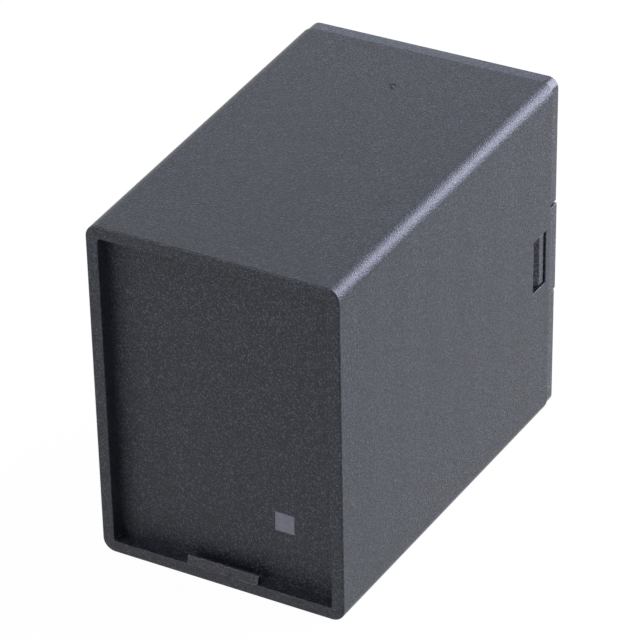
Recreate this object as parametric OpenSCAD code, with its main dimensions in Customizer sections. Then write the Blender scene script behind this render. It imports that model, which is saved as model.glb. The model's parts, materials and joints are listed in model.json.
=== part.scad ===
// Plug-in phase monitor relay: a drafted, textured housing that snaps over an octal plug base,
// with a circuit board, an indicator lamp and a hinged-armature output relay inside.
// Millimetres. The origin is the centre of the plug's seat. +X is right and +Z is up as seen from
// the front, and +Y runs to the rear, the way the plug points.

/* [Housing] */
// Outside width at the rear edge
housing_w = 45.1; // [44:0.1:52]
// Outside height at the rear edge
housing_h = 61.1; // [59:0.1:70]
// Depth from the front rim to the rear edge
housing_d = 68.8; // [67:0.1:90]
// Moulding draft of each outside wall, in degrees
draft_angle = 1; // [0.5:0.1:1.5]
// Thickness of the side walls, which is also the width of the front rim
wall_t = 2.1; // [1.6:0.05:2.3]
// Radius of the four long outside edges
edge_r = 2.15; // [1.2:0.05:3]
// Radius of the four long inside edges
inner_edge_r = 1; // [0.5:0.1:2]
// Rounding of the front rim's outer edge
rim_edge_r = 0.3; // [0.1:0.05:0.5]
// Rounding of the rear edge
rear_edge_r = 0.25; // [0.2:0.05:0.8]
// Radius of the moulding gate's dimple in the top
gate_r = 0.9; // [0.6:0.05:1.2]
// Depth of the gate's dimple
gate_d = 0.1; // [0.05:0.05:0.3]
// Radius of the nub that the gate left in its dimple
gate_nub_r = 0.3; // [0.2:0.05:0.4]
// Height of the nub above the dimple's floor
gate_nub_h = 0.25; // [0.1:0.05:0.3]
// Distance from the rear edge to the gate
gate_from_rear = 11.7; // [8:0.1:30]

/* [Front recess] */
// Depth of the recess behind the rim
recess_d = 2.54; // [1.5:0.02:4]
// Moulding draft of the recess's walls, in degrees
recess_draft = 1; // [0.5:0.1:2]
// Radius of the recess's corners
recess_corner_r = 0.5; // [0.3:0.1:1.5]
// Fillet round the floor of the recess
recess_floor_r = 0.7; // [0.3:0.1:1]
// Thickness of the front wall
panel_t = 2; // [1.5:0.1:3]
// Width of the snap tab on the lower rim
tab_w = 12.7; // [8:0.1:20]
// Height of the snap tab above the rim's inner edge
tab_rise = 1.25; // [0.6:0.05:1.5]
// Depth of the tab's sloping front
tab_ramp_d = 0.7; // [0.4:0.05:0.9]
// Depth of the tab's flat crest
tab_crest_d = 0.4; // [0.3:0.05:0.6]

/* [Light window] */
// Side of the square window
window_size = 3.45; // [2.5:0.05:4]
// Window's centre, to the right of the middle
window_x = 10; // [8:0.1:11]
// Window's centre, above the housing's lower edge
window_up = 14.45; // [13:0.05:16]
// Gap between the light pipe and the window, each side
pipe_gap = 0.03; // [0.03:0.01:0.1]
// Distance that the light pipe's face is set back
pipe_set_back = 0; // [0:0.05:0.4]
// Overhang of the light pipe's head, each side
pipe_head_over = 0.8; // [0.5:0.1:1.2]
// Thickness of the light pipe's head
pipe_head_t = 1.2; // [0.8:0.1:2]

/* [Latches] */
// Length of the latch windows along the depth
latch_window_d = 4.3; // [3.4:0.1:5]
// Height of the latch windows
latch_window_h = 9.6; // [8:0.1:12]
// Bridge of wall between a latch window and the rear edge
latch_bridge = 1.7; // [1.4:0.1:2.5]
// Gap behind a hook, towards the bridge
hook_back_gap = 0.3; // [0.15:0.05:0.4]
// Length of a hook's flat face
hook_face_d = 1.6; // [1.2:0.05:2]
// Distance that a hook's face lies under the housing's surface
hook_under = 0.2; // [0.1:0.05:0.6]
// Gap above and below a hook
hook_side_gap = 0.3; // [0.2:0.05:0.8]
// Height of a latch arm
arm_h = 14; // [11:0.1:14.8]
// Thickness of a latch arm
arm_t = 1.4; // [1:0.1:1.8]
// Height of the pad at the root of a latch arm
pad_h = 15.9; // [15:0.1:18]
// Distance that the pad stands proud of the flange
pad_proud = 0.15; // [0.1:0.05:0.3]
// Width of the slits that free the pad
slit_w = 0.4; // [0.3:0.05:0.8]
// Depth of the slits
slit_d = 4; // [3:0.1:5]

/* [Base] */
// Thickness of the flange
flange_t = 2.5; // [2:0.1:3.5]
// Distance that the flange's sides are set in from the housing's sides
flange_inset = 0.35; // [0.2:0.05:0.5]
// Distance that the flange's top and bottom are set in from the housing's
flange_inset_up = 0.1; // [0.05:0.05:0.5]
// Chamfer of the flange's rear edge
flange_chamfer = 0.15; // [0.1:0.05:0.5]
// Radius of the round seat that carries the plug
seat_r = 16; // [14:0.1:18]
// Thickness of the round seat
seat_t = 1.2; // [0.8:0.1:2]
// Chamfer of the round seat
seat_chamfer = 0.3; // [0.1:0.05:0.5]
// Thickness of the locating skirts inside the housing
skirt_t = 1.6; // [1.2:0.1:1.8]
// Height of the locating skirts
skirt_h = 5; // [3:0.1:6]
// Length of each locating skirt
skirt_l = 10; // [6:0.1:12]
// Gap between the skirts or latch arms and the housing
fit_gap = 0.15; // [0.1:0.05:0.25]
// Gap between the two halves of a board clamp and the board
clamp_gap = 0.05; // [0.03:0.01:0.15]
// Wall of a board clamp
clamp_t = 1.6; // [1.2:0.1:2]
// Height of a board clamp
clamp_h = 5; // [3:0.1:6]
// Length of a board clamp
clamp_l = 8; // [5:0.1:10]

/* [Octal plug] */
// Diameter of the pin circle
pin_circle_d = 17.45; // [17:0.05:18]
// Radius of a pin
pin_r = 1.18; // [1.1:0.01:1.25]
// Length of a pin beyond the seat
pin_len = 11.1; // [9:0.1:12]
// Extra radius of a pin's shank, up to the seat
pin_shank_over = 0.2; // [0.18:0.01:0.3]
// Radius of the solder cup in a pin's inner end
pin_cup_r = 0.75; // [0.6:0.05:0.85]
// Depth of the solder cup
pin_cup_d = 3.4; // [2:0.1:4]
// Radius of the collar that seats a pin
pin_collar_r = 1.9; // [1.6:0.1:2.4]
// Thickness of the collar
pin_collar_t = 0.6; // [0.4:0.1:1]
// Radial gap between a pin's shank and its hole
pin_gap = 0.02; // [0.01:0.01:0.05]
// Radius of the key post
post_r = 3.95; // [3.6:0.05:4.2]
// Length of the key post beyond the seat
post_len = 14; // [12:0.1:15]
// Chamfer at the key post's tip
post_chamfer = 1; // [0.5:0.1:1.5]
// Radius of the hollow inside the key post
post_bore_r = 2.4; // [2:0.1:2.8]
// Thickness of the key post's closed end
post_end_t = 1.8; // [1.2:0.1:3]
// Width of the key rib
key_w = 2; // [1.6:0.1:2.4]
// Distance from the post's axis to the key rib's top
key_reach = 4.95; // [4.7:0.05:5.2]
// Length of the key rib beyond the seat
key_len = 11; // [8:0.1:11.5]

/* [Circuit board] */
// Thickness of the board
board_t = 1.6; // [1.4:0.1:2]
// Gap between the board's ends and the walls
board_end_gap = 0.4; // [0.2:0.1:0.8]
// Gap between the board and the guide ribs
rib_gap = 0.15; // [0.1:0.05:0.3]
// Thickness of the guide ribs
rib_t = 1.2; // [0.8:0.1:1.4]
// Overlap of the guide ribs with the board's edge
rib_lap = 1.2; // [0.8:0.1:1.8]
// Clear length between the guide ribs and the rear edge
rib_from_rear = 10; // [8:0.5:20]
// Radius of the lead wires
lead_r = 0.4; // [0.3:0.05:0.5]
// Bend radius of the lead wires
lead_bend_r = 1.6; // [1.2:0.1:2]
// Distance from the flange to the nearer row of lead holes
lead_row_near = 6.2; // [5.8:0.1:7]
// Distance between the two rows of lead holes
lead_row_pitch = 3; // [2.5:0.1:4]
// Radial gap between a wire and its hole in the board
hole_gap = 0.1; // [0.05:0.05:0.2]
// Distance that wires stand out behind the board
tail_len = 1; // [0.6:0.1:1.5]

/* [Board parts] */
// Radius of the indicator lamp's body
lamp_r = 1.5; // [1.3:0.1:1.6]
// Radius of the indicator lamp's rim
lamp_rim_r = 1.9; // [1.7:0.1:2]
// Length of the indicator lamp
lamp_len = 4.5; // [4:0.1:5.5]
// Distance from the lamp to the point where its wires turn to the board
lamp_wire_len = 2.5; // [1.5:0.1:4]
// Gap between the light pipe and the lamp's tip
lamp_gap = 0.4; // [0.2:0.1:0.8]
// Radius of the wires of small parts
wire_r = 0.3; // [0.25:0.05:0.4]
// Radius of the dropping resistors
resistor_r = 3; // [2.5:0.1:3.2]
// Length of the dropping resistors
resistor_len = 17; // [14:0.5:18]
// Height of the dropping resistors above the board
resistor_lift = 2; // [1:0.1:4]
// Distance between the dropping resistors
resistor_pitch = 7.6; // [7:0.1:8]
// Radius of the surge absorbers
varistor_r = 5; // [4:0.1:5.2]
// Thickness of the surge absorbers
varistor_t = 4.2; // [3:0.1:4.4]
// Height of the surge absorbers above the board
varistor_lift = 1.5; // [1:0.1:3]
// Distance between a surge absorber's wires
varistor_span = 5; // [4:0.1:7.5]
// Distance between the surge absorbers
varistor_pitch = 11; // [10.6:0.1:11.2]
// Radius of the filter capacitor
capacitor_r = 5; // [4:0.1:5.2]
// Height of the filter capacitor
capacitor_h = 16; // [12:0.5:20]
// Distance between the filter capacitor's wires
capacitor_span = 5; // [3.5:0.1:7]
// Length of the controller chip
chip_l = 9.6; // [9:0.1:9.8]
// Width of the controller chip
chip_w = 6.4; // [6:0.1:6.6]
// Thickness of the controller chip
chip_h = 3.3; // [3:0.1:3.5]
// Radius of the rectifier diodes
diode_r = 1.35; // [1.1:0.05:1.5]
// Length of the rectifier diodes
diode_len = 5.2; // [4.5:0.1:5.6]
// Radius of the signal resistors
small_r = 1.15; // [0.9:0.05:1.3]
// Length of the signal resistors
small_len = 6.3; // [5:0.1:7]
// Radius of the transistor and regulator bodies
transistor_r = 2.4; // [2.2:0.1:2.6]
// Height of the transistor and regulator bodies
transistor_h = 4.8; // [4:0.1:5.2]
// Height of the transistor and regulator bodies above the board
transistor_lift = 2; // [1:0.1:4]
// Gap between neighbouring parts
part_gap = 0.7; // [0.5:0.1:1]
// Gap between the parts and the board's edge
edge_gap = 1.5; // [1.2:0.1:2]

/* [Output relay] */
// Length of the relay's case
relay_l = 29; // [28.6:0.1:30]
// Width of the relay's case
relay_w = 13; // [12.6:0.1:14]
// Height of the relay's case
relay_h = 25.5; // [25.3:0.1:27]
// Wall of the relay's case
case_t = 0.8; // [0.6:0.05:0.9]
// Thickness of the relay's base
relay_base_t = 2.5; // [2:0.1:3]
// Thickness of the yoke
yoke_t = 1.4; // [1.2:0.1:1.5]
// Width of the yoke and the armature
yoke_w = 9; // [8:0.1:9.4]
// Height of the yoke above the relay's base
yoke_h = 17.7; // [16:0.1:17.7]
// Radius of the iron core
core_r = 2.2; // [1.8:0.1:2.6]
// Radius of the core's pole face
pole_r = 3.6; // [3:0.1:4]
// Thickness of the core's pole face
pole_t = 1; // [0.8:0.1:1.2]
// Wall of the bobbin's tube and flanges
bobbin_t = 0.8; // [0.6:0.1:1]
// Radius of the winding
winding_r = 4.9; // [4.2:0.1:5]
// Thickness of the armature
armature_t = 1.3; // [1:0.1:1.4]
// Gap under the armature at its knife edge
knife_gap = 0.05; // [0.04:0.01:0.08]
// Swing of the armature, in degrees
swing_angle = 2.5; // [2:0.1:3]
// Clearance left at each stop of the armature
stop_gap = 0.04; // [0.03:0.01:0.06]
// Thickness of the contact blade and the return spring
blade_t = 0.25; // [0.2:0.05:0.3]
// Width of the contact blade
blade_w = 4; // [3:0.1:5]
// Radius of the contacts
contact_r = 1.3; // [1:0.1:1.5]
// Height of each contact head
contact_h = 0.6; // [0.5:0.05:0.7]
// Distance from the contact posts to the end of the relay's case
post_from_end = 3; // [2.6:0.1:3.6]
// Thickness of the fixed contacts' strips
strip_t = 0.4; // [0.3:0.05:0.5]

/* [Hidden] */
$fn = 48;
// Facets of the rounded housing
shell_fn = 32;
// Spacing of the legs of a chip, a transistor and the lamp
leg_pitch = 2.54;
// Spacing of the two rows of a chip's legs
row_pitch = 7.62;
// A cut runs past the face that it opens by this much
past = 1;
// Thickness of the discs that a rounded body is stretched over
skin = 0.01;
// Overlap of two pieces of one solid
weld = 0.2;

PIN_COUNT = 8;
PIN_NUMBERS = [1:PIN_COUNT];
THREE = [0:2];

// Planes along the depth, from the plug's seat at zero to the front rim
y_flange_rear = -seat_t;
y_flange = y_flange_rear - flange_t;
y_rim = y_flange - housing_d;
y_panel = y_rim + recess_d;
y_cavity = y_panel + panel_t;
slope = tan(draft_angle);
recess_slope = tan(recess_draft);

// Half width and half height of the housing's outside at a depth
function outer_x(y) = housing_w / 2 - slope * (y_flange - y);
function outer_z(y) = housing_h / 2 - slope * (y_flange - y);
function inner_x(y) = outer_x(y) - wall_t;
function inner_z(y) = outer_z(y) - wall_t;

// Gate
gate_y = y_flange - gate_from_rear;
gate_floor = outer_z(gate_y) - gate_d;

// Latches
latch_y_rear = y_flange - latch_bridge;
latch_y_front = latch_y_rear - latch_window_d;
hook_half_h = latch_window_h / 2 - hook_side_gap;
hook_y_rear = latch_y_rear - hook_back_gap;
hook_y_face = hook_y_rear - hook_face_d;
hook_lead_in = 0.2;
arm_beyond = 0.4;
arm_y_front = latch_y_front - arm_beyond;
arm_x_out = inner_x(arm_y_front) - fit_gap;
hook_x_out = outer_x(latch_y_front) - hook_under;
flange_x = housing_w / 2 - flange_inset;
flange_z = housing_h / 2 - flange_inset_up;
flange_edge_r = edge_r - flange_inset;

// Plug
pin_angle_step = 360 / PIN_COUNT;
function pin_angle(i) = 270 - pin_angle_step * (i - 0.5);
function pin_x(i) = pin_circle_d / 2 * cos(pin_angle(i));
function pin_z(i) = pin_circle_d / 2 * sin(pin_angle(i));
pin_inner_y = y_flange - pin_collar_t;
pin_shank_r = pin_r + pin_shank_over;

// Board: its face carries the parts and looks to -X
window_z = window_up - housing_h / 2;
pipe_to_board = 0.2;
board_front_gap = 1.4;
board_rear_gap = 0.2;
board_x = window_x + lamp_rim_r + pipe_to_board;
board_back = board_x + board_t;
board_y_front = y_cavity + board_front_gap;
board_y_rear = y_flange - board_rear_gap;
board_half_h = inner_z(y_cavity) - board_end_gap;
rib_half_h = board_half_h - rib_lap;

// Lead wires: pins on the near side use the near row of holes
lead_y_near = y_flange - lead_row_near;
lead_y_far = lead_y_near - lead_row_pitch;
function lead_y(i) = pin_x(i) > 0 ? lead_y_near : lead_y_far;

// Parts at the rear of the board: the relay, the dropping resistors and the small lying parts.
// Places are [y, z]. A lying part's wires turn down this far from its ends.
bend_room = 2;
small_bend_room = 1.3;
parts_y_rear = lead_y_far - lead_r - part_gap;
resistor_span = resistor_len + 2 * bend_room;
resistor_y = parts_y_rear - lead_r - resistor_span / 2;
function resistor_z(i) = -board_half_h + edge_gap + resistor_r + resistor_pitch * i;
low_lift = 0.4;
diode_span = diode_len + 2 * small_bend_room;
diode_z = resistor_z(2) + resistor_r + part_gap + diode_r;
function diode_y(i) = parts_y_rear - wire_r - diode_span / 2 - (diode_span + part_gap + wire_r) * i;
small_span = small_len + 2 * small_bend_room;
small_z = board_half_h - edge_gap - small_r;
function small_y(i) = parts_y_rear - wire_r - small_span / 2 - (small_span + part_gap + wire_r) * i;
relay_y = parts_y_rear - relay_l / 2;
relay_z = small_z - small_r - part_gap - relay_w / 2;
varistor_y = relay_y - relay_l / 2 - part_gap - varistor_t / 2;
function varistor_z(i) = -board_half_h + edge_gap + varistor_r + varistor_pitch * i;

// Parts at the front of the board: the lamp, the chip, the capacitor and the transistors
lamp_y_tip = y_cavity + pipe_head_t + lamp_gap;
lamp_y_rear = lamp_y_tip + lamp_len;
lamp_foot_y = lamp_y_rear + lamp_wire_len;
parts_y_front = board_y_front + edge_gap;
capacitor_y = parts_y_front + capacitor_r;
capacitor_z = board_half_h - edge_gap - capacitor_r;
chip_y = parts_y_front + row_pitch / 2;
chip_z = 0;
chip_lift = 0.5;
transistor_flat = transistor_r / 2;
transistor_z = capacitor_z - capacitor_r - part_gap - transistor_r;
function transistor_y(i) = parts_y_front + transistor_r + (2 * transistor_r + part_gap) * i;

// Output relay, in its own frame: X across, Y along, Z away from the board
case_gap = 0.1;
case_lift = 0.3;
yoke_gap = 0.9;
coil_gap = 1;
yoke_y = -relay_l / 2 + case_t + yoke_gap;
hinge_y = yoke_y + yoke_t / 2;
yoke_top = relay_base_t + yoke_h;
hinge_h = yoke_top + knife_gap;
core_y = yoke_y + yoke_t + coil_gap + winding_r;
pole_drop = (core_y + pole_r - hinge_y) * sin(swing_angle) + stop_gap;
pole_top = hinge_h - pole_drop;
armature_over = 0.8;
armature_top = hinge_h + armature_t;
armature_y_tail = yoke_y + case_gap;
armature_y_front = core_y + pole_r + armature_over;
post_y = relay_l / 2 - post_from_end;
post_gap = 1;
contact_y = post_y - contact_r - post_gap;
contact_reach = contact_y - hinge_y;
blade_h = armature_top;
contact_low = blade_h - contact_h;
contact_high = blade_h + blade_t + contact_h;
contact_travel = (contact_reach + contact_r) * sin(swing_angle);
fixed_low = contact_low - contact_travel - stop_gap;
fixed_high = contact_high + stop_gap;
post_x_in = 0.8;
post_x_out = 4.4;
relay_pin_r = 0.45;
press_gap = 0.02;
rivet_r = 0.5;
rivet_x = 1;
rivet_from_end = 2;
rivet_y = armature_y_front - rivet_from_end;
rivet_head = 0.3;
coil_pin_x = 4.2;
coil_pin_y = core_y + winding_r - coil_gap;
common_x = 0;
common_y = yoke_y + yoke_t / 2;

// Every wire that goes through the board, as [y, z, radius]
function pair_y(y, z, feet, r) = [for (s = [-1, 1]) [y + s * feet / 2, z, r]];
function pair_z(y, z, feet, r) = [for (s = [-1, 1]) [y, z + s * feet / 2, r]];
lead_holes = [for (i = PIN_NUMBERS) [lead_y(i), pin_z(i), lead_r]];
lamp_feet = pair_z(lamp_foot_y, window_z, leg_pitch, wire_r);
resistor_feet = [for (i = THREE) each pair_y(resistor_y, resistor_z(i), resistor_span, lead_r)];
varistor_feet = [for (i = THREE) each pair_z(varistor_y, varistor_z(i), varistor_span, wire_r)];
capacitor_feet = pair_y(capacitor_y, capacitor_z, capacitor_span, wire_r);
chip_feet = [for (side = [-1, 1], k = [-1.5:1.5])
    [chip_y + side * row_pitch / 2, chip_z + k * leg_pitch, wire_r]];
diode_feet = [for (i = THREE) each pair_y(diode_y(i), diode_z, diode_span, wire_r)];
small_feet = [for (i = [0, 1]) each pair_y(small_y(i), small_z, small_span, wire_r)];
transistor_feet = [for (i = [0, 1], k = [-1:1])
    [transistor_y(i) + k * leg_pitch / 2, transistor_z, wire_r]];
relay_holes = [
    [relay_y + common_y, relay_z + common_x, relay_pin_r],
    for (s = [-1, 1]) [relay_y + coil_pin_y, relay_z + s * coil_pin_x, relay_pin_r],
    for (s = [-1, 1]) [relay_y + post_y, relay_z + s * (post_x_in + post_x_out) / 2, relay_pin_r]
];
board_holes = concat(lead_holes, lamp_feet, resistor_feet, varistor_feet, capacitor_feet, chip_feet,
    diode_feet, small_feet, transistor_feet, relay_holes);

PINS = [for (i = PIN_NUMBERS) str("pin_", i)];
LEADS = [for (i = PIN_NUMBERS) str("lead_", i)];

// Four thin discs at the corners of a rounded rectangle across the depth
module corner_discs(half_x, half_z, r, y) {
    for (sx = [-1, 1], sz = [-1, 1])
        translate([sx * (half_x - r), y + skin / 2, sz * (half_z - r)])
            rotate([90, 0, 0])
                cylinder(r = r, h = skin, $fn = shell_fn);
}

// A rounded rectangle across the depth, from y1 back to y2
module rounded_plate(half_x, half_z, r, y1, y2) {
    translate([0, y2, 0])
        rotate([90, 0, 0])
            linear_extrude(y2 - y1) {
                square([2 * half_x, 2 * (half_z - r)], center = true);
                square([2 * (half_x - r), 2 * half_z], center = true);
                for (sx = [-1, 1], sz = [-1, 1])
                    translate([sx * (half_x - r), sz * (half_z - r)])
                        circle(r);
            }
}

// A block given by its lowest and highest corners
module block(low, high) {
    translate(low) cube(high - low);
}

// A solid turned about the depth axis: points are [radius, y]
module turned(points) {
    rotate([-90, 0, 0]) rotate_extrude() polygon(points);
}

// Puts a part on the board's face: its X runs up the board, its Y along the depth, its Z outwards
module on_board(y, z) {
    translate([board_x, y, z]) rotate([0, -90, 0]) children();
}

// A round wire from height top down through the board, in the part's frame
module foot(x, y, r, top) {
    low = board_t + tail_len;
    translate([x, y, -low]) cylinder(r = r, h = top + low);
}

// A wire that leaves a lying part along its axis and bends down through the board.
// The part's axis is X, start is where the wire leaves it, reach is where the wire goes down.
module bent_foot(start, reach, height, r) {
    bend = 2 * r;
    translate([start, 0, height])
        rotate([0, 90, 0])
            cylinder(r = r, h = reach - start - bend);
    translate([reach - bend, 0, height - bend])
        rotate([90, 0, 0])
            rotate_extrude(angle = 90)
                translate([bend, 0]) circle(r);
    foot(reach, 0, r, height - bend);
}

// Both bent feet of a lying part
module bent_feet(length, feet, height, r) {
    for (side = [0, 1])
        mirror([side, 0, 0])
            bent_foot(length / 2, feet / 2, height, r);
}

// Outside of the housing: a drafted box with round edges, a rounded rim and a rounded rear edge
module housing_outside() {
    hull() {
        for (a = [0:30:90]) {
            inset = rim_edge_r * (1 - sin(a));
            y = y_rim + rim_edge_r * (1 - cos(a));
            corner_discs(outer_x(y) - inset, outer_z(y) - inset, edge_r - inset, y);
        }
        for (a = [0:30:90]) {
            inset = rear_edge_r * (1 - sin(a));
            y = y_flange - rear_edge_r * (1 - cos(a));
            corner_discs(outer_x(y) - inset, outer_z(y) - inset, edge_r - inset, y - skin / 2);
        }
    }
}

// The recess behind the rim, drafted towards its floor, with a filleted floor
module front_recess() {
    hull() {
        recess_ring(0, y_rim - past);
        for (a = [0:30:90])
            recess_ring(recess_floor_r * (1 - cos(a)), y_panel - recess_floor_r * (1 - sin(a)));
    }
}

// One outline of the recess, at depth y
module recess_ring(inset, y) {
    narrow = inset + recess_slope * (y - y_rim);
    corner_discs(inner_x(y_rim) - narrow, inner_z(y_rim) - narrow, recess_corner_r, y - skin / 2);
}

module housing_inside() {
    hull() {
        corner_discs(inner_x(y_cavity), inner_z(y_cavity), inner_edge_r, y_cavity);
        corner_discs(inner_x(y_flange + past), inner_z(y_flange + past), inner_edge_r,
            y_flange + past);
    }
}

// Ribs on the inside of the top and bottom walls that guide the board's edges
module guide_ribs() {
    for (sz = [-1, 1], x = [board_x - rib_gap - rib_t, board_back + rib_gap])
        mirror([0, 0, sz < 0 ? 1 : 0])
            block([x, y_cavity - weld, rib_half_h],
                [x + rib_t, y_flange - rib_from_rear, inner_z(y_flange) + weld]);
}

// The snap tab: a lead-in slope on the front, a flat crest and an undercut rear face
module snap_tab() {
    low = -inner_z(y_rim);
    translate([-tab_w / 2, 0, 0])
        rotate([90, 0, 90])
            linear_extrude(tab_w)
                polygon([
                    [y_rim + rim_edge_r, low - wall_t / 2],
                    [y_rim + rim_edge_r / 2, low],
                    [y_rim + tab_ramp_d, low + tab_rise],
                    [y_rim + tab_ramp_d + tab_crest_d, low + tab_rise],
                    [y_rim + tab_ramp_d + tab_crest_d, low - wall_t / 2]
                ]);
}

module housing() {
    color("#3b3d41")
        union() {
            difference() {
                union() {
                    difference() {
                        housing_outside();
                        front_recess();
                        housing_inside();
                    }
                    intersection() {
                        guide_ribs();
                        housing_outside();
                    }
                    snap_tab();
                }
                block([window_x - window_size / 2, y_panel - past, window_z - window_size / 2],
                    [window_x + window_size / 2, y_cavity + past, window_z + window_size / 2]);
                for (side = [0, 1])
                    mirror([side, 0, 0])
                        block([inner_x(latch_y_front) - past, latch_y_front, -latch_window_h / 2],
                            [outer_x(latch_y_rear) + past, latch_y_rear, latch_window_h / 2]);
                translate([0, gate_y, gate_floor]) cylinder(r = gate_r, h = gate_d + past);
            }
            translate([0, gate_y, gate_floor - weld]) cylinder(r = gate_nub_r, h = weld + gate_nub_h);
        }
}

// The clear pipe that fills the window, with a head that seats on the inside of the front wall
module light_pipe() {
    half = window_size / 2 - pipe_gap;
    head = window_size / 2 + pipe_head_over;
    color("#8d8d96")
        translate([window_x, 0, window_z]) {
            block([-half, y_panel + pipe_set_back, -half], [half, y_cavity + weld, half]);
            block([-head, y_cavity, -head], [head, y_cavity + pipe_head_t, head]);
        }
}

// A latch arm with its hook and its pad, on the +X side
module latch_arm() {
    arm_x_in = arm_x_out - arm_t;
    block([arm_x_in, arm_y_front, -arm_h / 2], [arm_x_out, y_flange + weld, arm_h / 2]);
    block([flange_x - slit_d, y_flange, -pad_h / 2], [flange_x + pad_proud, y_flange_rear, pad_h / 2]);
    translate([0, 0, -hook_half_h])
        linear_extrude(2 * hook_half_h)
            polygon([
                [arm_x_in + arm_t / 2, latch_y_front + hook_lead_in],
                [arm_x_out, latch_y_front + hook_lead_in],
                [hook_x_out, hook_y_face],
                [hook_x_out, hook_y_rear],
                [arm_x_in + arm_t / 2, hook_y_rear]
            ]);
}

// Two halves that hold the board's rear edge
module board_clamp(z) {
    gap = clamp_gap;
    for (x = [board_x - gap - clamp_t, board_back + gap])
        block([x, y_flange - clamp_h, z - clamp_l / 2],
            [x + clamp_t, y_flange + weld, z + clamp_l / 2]);
}

module locating_skirts() {
    x_out = inner_x(y_flange - skirt_h) - fit_gap;
    z_out = inner_z(y_flange - skirt_h) - inner_edge_r;
    for (sx = [0, 1], sz = [0, 1])
        mirror([sx, 0, 0]) mirror([0, 0, sz])
            block([x_out - skirt_t, y_flange - skirt_h, z_out - skirt_l],
                [x_out, y_flange + weld, z_out]);
}

// The key post and its rib, solid
module key_post() {
    tip_r = post_r - post_chamfer;
    turned([[0, -weld], [post_r, -weld], [post_r, post_len - post_chamfer],
        [tip_r, post_len], [0, post_len]]);
    block([-key_w / 2, -weld, -key_reach], [key_w / 2, key_len, -post_r / 2]);
}

module base() {
    color("#2c2d30")
        difference() {
            union() {
                difference() {
                    union() {
                        rounded_plate(flange_x, flange_z, flange_edge_r, y_flange,
                            y_flange_rear - flange_chamfer);
                        rounded_plate(flange_x - flange_chamfer, flange_z - flange_chamfer,
                            flange_edge_r - flange_chamfer, y_flange, y_flange_rear);
                    }
                    for (sx = [0, 1], sz = [0, 1])
                        mirror([sx, 0, 0]) mirror([0, 0, sz])
                            block([flange_x - slit_d, y_flange - past, pad_h / 2],
                                [flange_x + past, y_flange_rear + past, pad_h / 2 + slit_w]);
                }
                turned([[0, -weld - seat_t], [seat_r, -weld - seat_t], [seat_r, -seat_chamfer],
                    [seat_r - seat_chamfer, 0], [0, 0]]);
                for (side = [0, 1]) mirror([side, 0, 0]) latch_arm();
                for (sz = [-1, 1]) board_clamp(sz * (board_half_h - clamp_l));
                locating_skirts();
                key_post();
            }
            for (i = PIN_NUMBERS)
                translate([pin_x(i), past, pin_z(i)])
                    rotate([90, 0, 0])
                        cylinder(r = pin_shank_r + pin_gap, h = 2 * past - y_flange);
            translate([0, post_len - post_end_t, 0])
                rotate([90, 0, 0])
                    cylinder(r = post_bore_r, h = post_len - post_end_t + past - y_flange);
        }
}

// A plug pin with a round tip, a thicker shank in the base, a collar that seats on the base's
// inner face, and a solder cup
module pin(i) {
    collar_y = pin_inner_y;
    cup_y = collar_y + pin_cup_d;
    round_steps = [for (a = [0:15:75]) [pin_r * cos(a), pin_len - pin_r + pin_r * sin(a)]];
    color("#c8c4b8")
        translate([pin_x(i), 0, pin_z(i)])
            turned(concat(
                [[pin_cup_r, collar_y], [pin_collar_r, collar_y], [pin_collar_r, y_flange],
                 [pin_shank_r, y_flange], [pin_shank_r, 0], [pin_r, 0]],
                round_steps,
                [[0, pin_len], [0, cup_y], [pin_cup_r, cup_y]]));
}

// The wire from a pin: forwards out of its cup, round a bend, and to the right through the board
module lead(i) {
    y_turn = lead_y(i) + lead_bend_r;
    y_end = pin_inner_y + pin_cup_d;
    color("#d6d3c9")
        translate([0, 0, pin_z(i)]) {
            translate([pin_x(i), y_end, 0])
                rotate([90, 0, 0])
                    cylinder(r = lead_r, h = y_end - y_turn);
            translate([pin_x(i) + lead_bend_r, y_turn, 0])
                rotate([0, 0, 180])
                    rotate_extrude(angle = 90)
                        translate([lead_bend_r, 0]) circle(lead_r);
            translate([pin_x(i) + lead_bend_r, lead_y(i), 0])
                rotate([0, 90, 0])
                    cylinder(r = lead_r, h = board_back + tail_len - pin_x(i) - lead_bend_r);
        }
}

module circuit_board() {
    color("#1f6b3a")
        difference() {
            block([board_x, board_y_front, -board_half_h], [board_back, board_y_rear, board_half_h]);
            for (hole = board_holes)
                translate([board_x - past, hole[0], hole[1]])
                    rotate([0, 90, 0])
                        cylinder(r = hole[2] + hole_gap, h = board_t + 2 * past, $fn = 24);
        }
}

// A round lamp that looks to the front, behind the light pipe
module status_lamp() {
    rim_t = 1;
    dome_y = lamp_y_tip + lamp_r;
    dome = [for (a = [0:15:90]) [lamp_r * sin(a), dome_y - lamp_r * cos(a)]];
    color("#5fae5f")
        translate([window_x, 0, window_z])
            turned(concat(dome,
                [[lamp_r, lamp_y_rear - rim_t], [lamp_rim_r, lamp_y_rear - rim_t],
                 [lamp_rim_r, lamp_y_rear], [0, lamp_y_rear]]));
}

module dropping_resistor(i) {
    end_chamfer = 0.3;
    end_chamfer_l = 0.6;
    half = resistor_len / 2;
    color("#b9b6a6")
        translate([board_x - resistor_lift - resistor_r, resistor_y, resistor_z(i)])
            turned([[0, -half], [resistor_r - end_chamfer, -half], [resistor_r, -half + end_chamfer_l],
                [resistor_r, half - end_chamfer_l], [resistor_r - end_chamfer, half], [0, half]]);
}

// A coated disc that stands on two wires
module surge_absorber(i) {
    half = varistor_t / 2;
    round_r = 0.8;
    color("#2f5f9e")
        translate([board_x - varistor_lift - varistor_r, varistor_y, varistor_z(i)])
            turned([[0, -half], [varistor_r - round_r, -half], [varistor_r, -half + round_r],
                [varistor_r, half - round_r], [varistor_r - round_r, half], [0, half]]);
}

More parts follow.
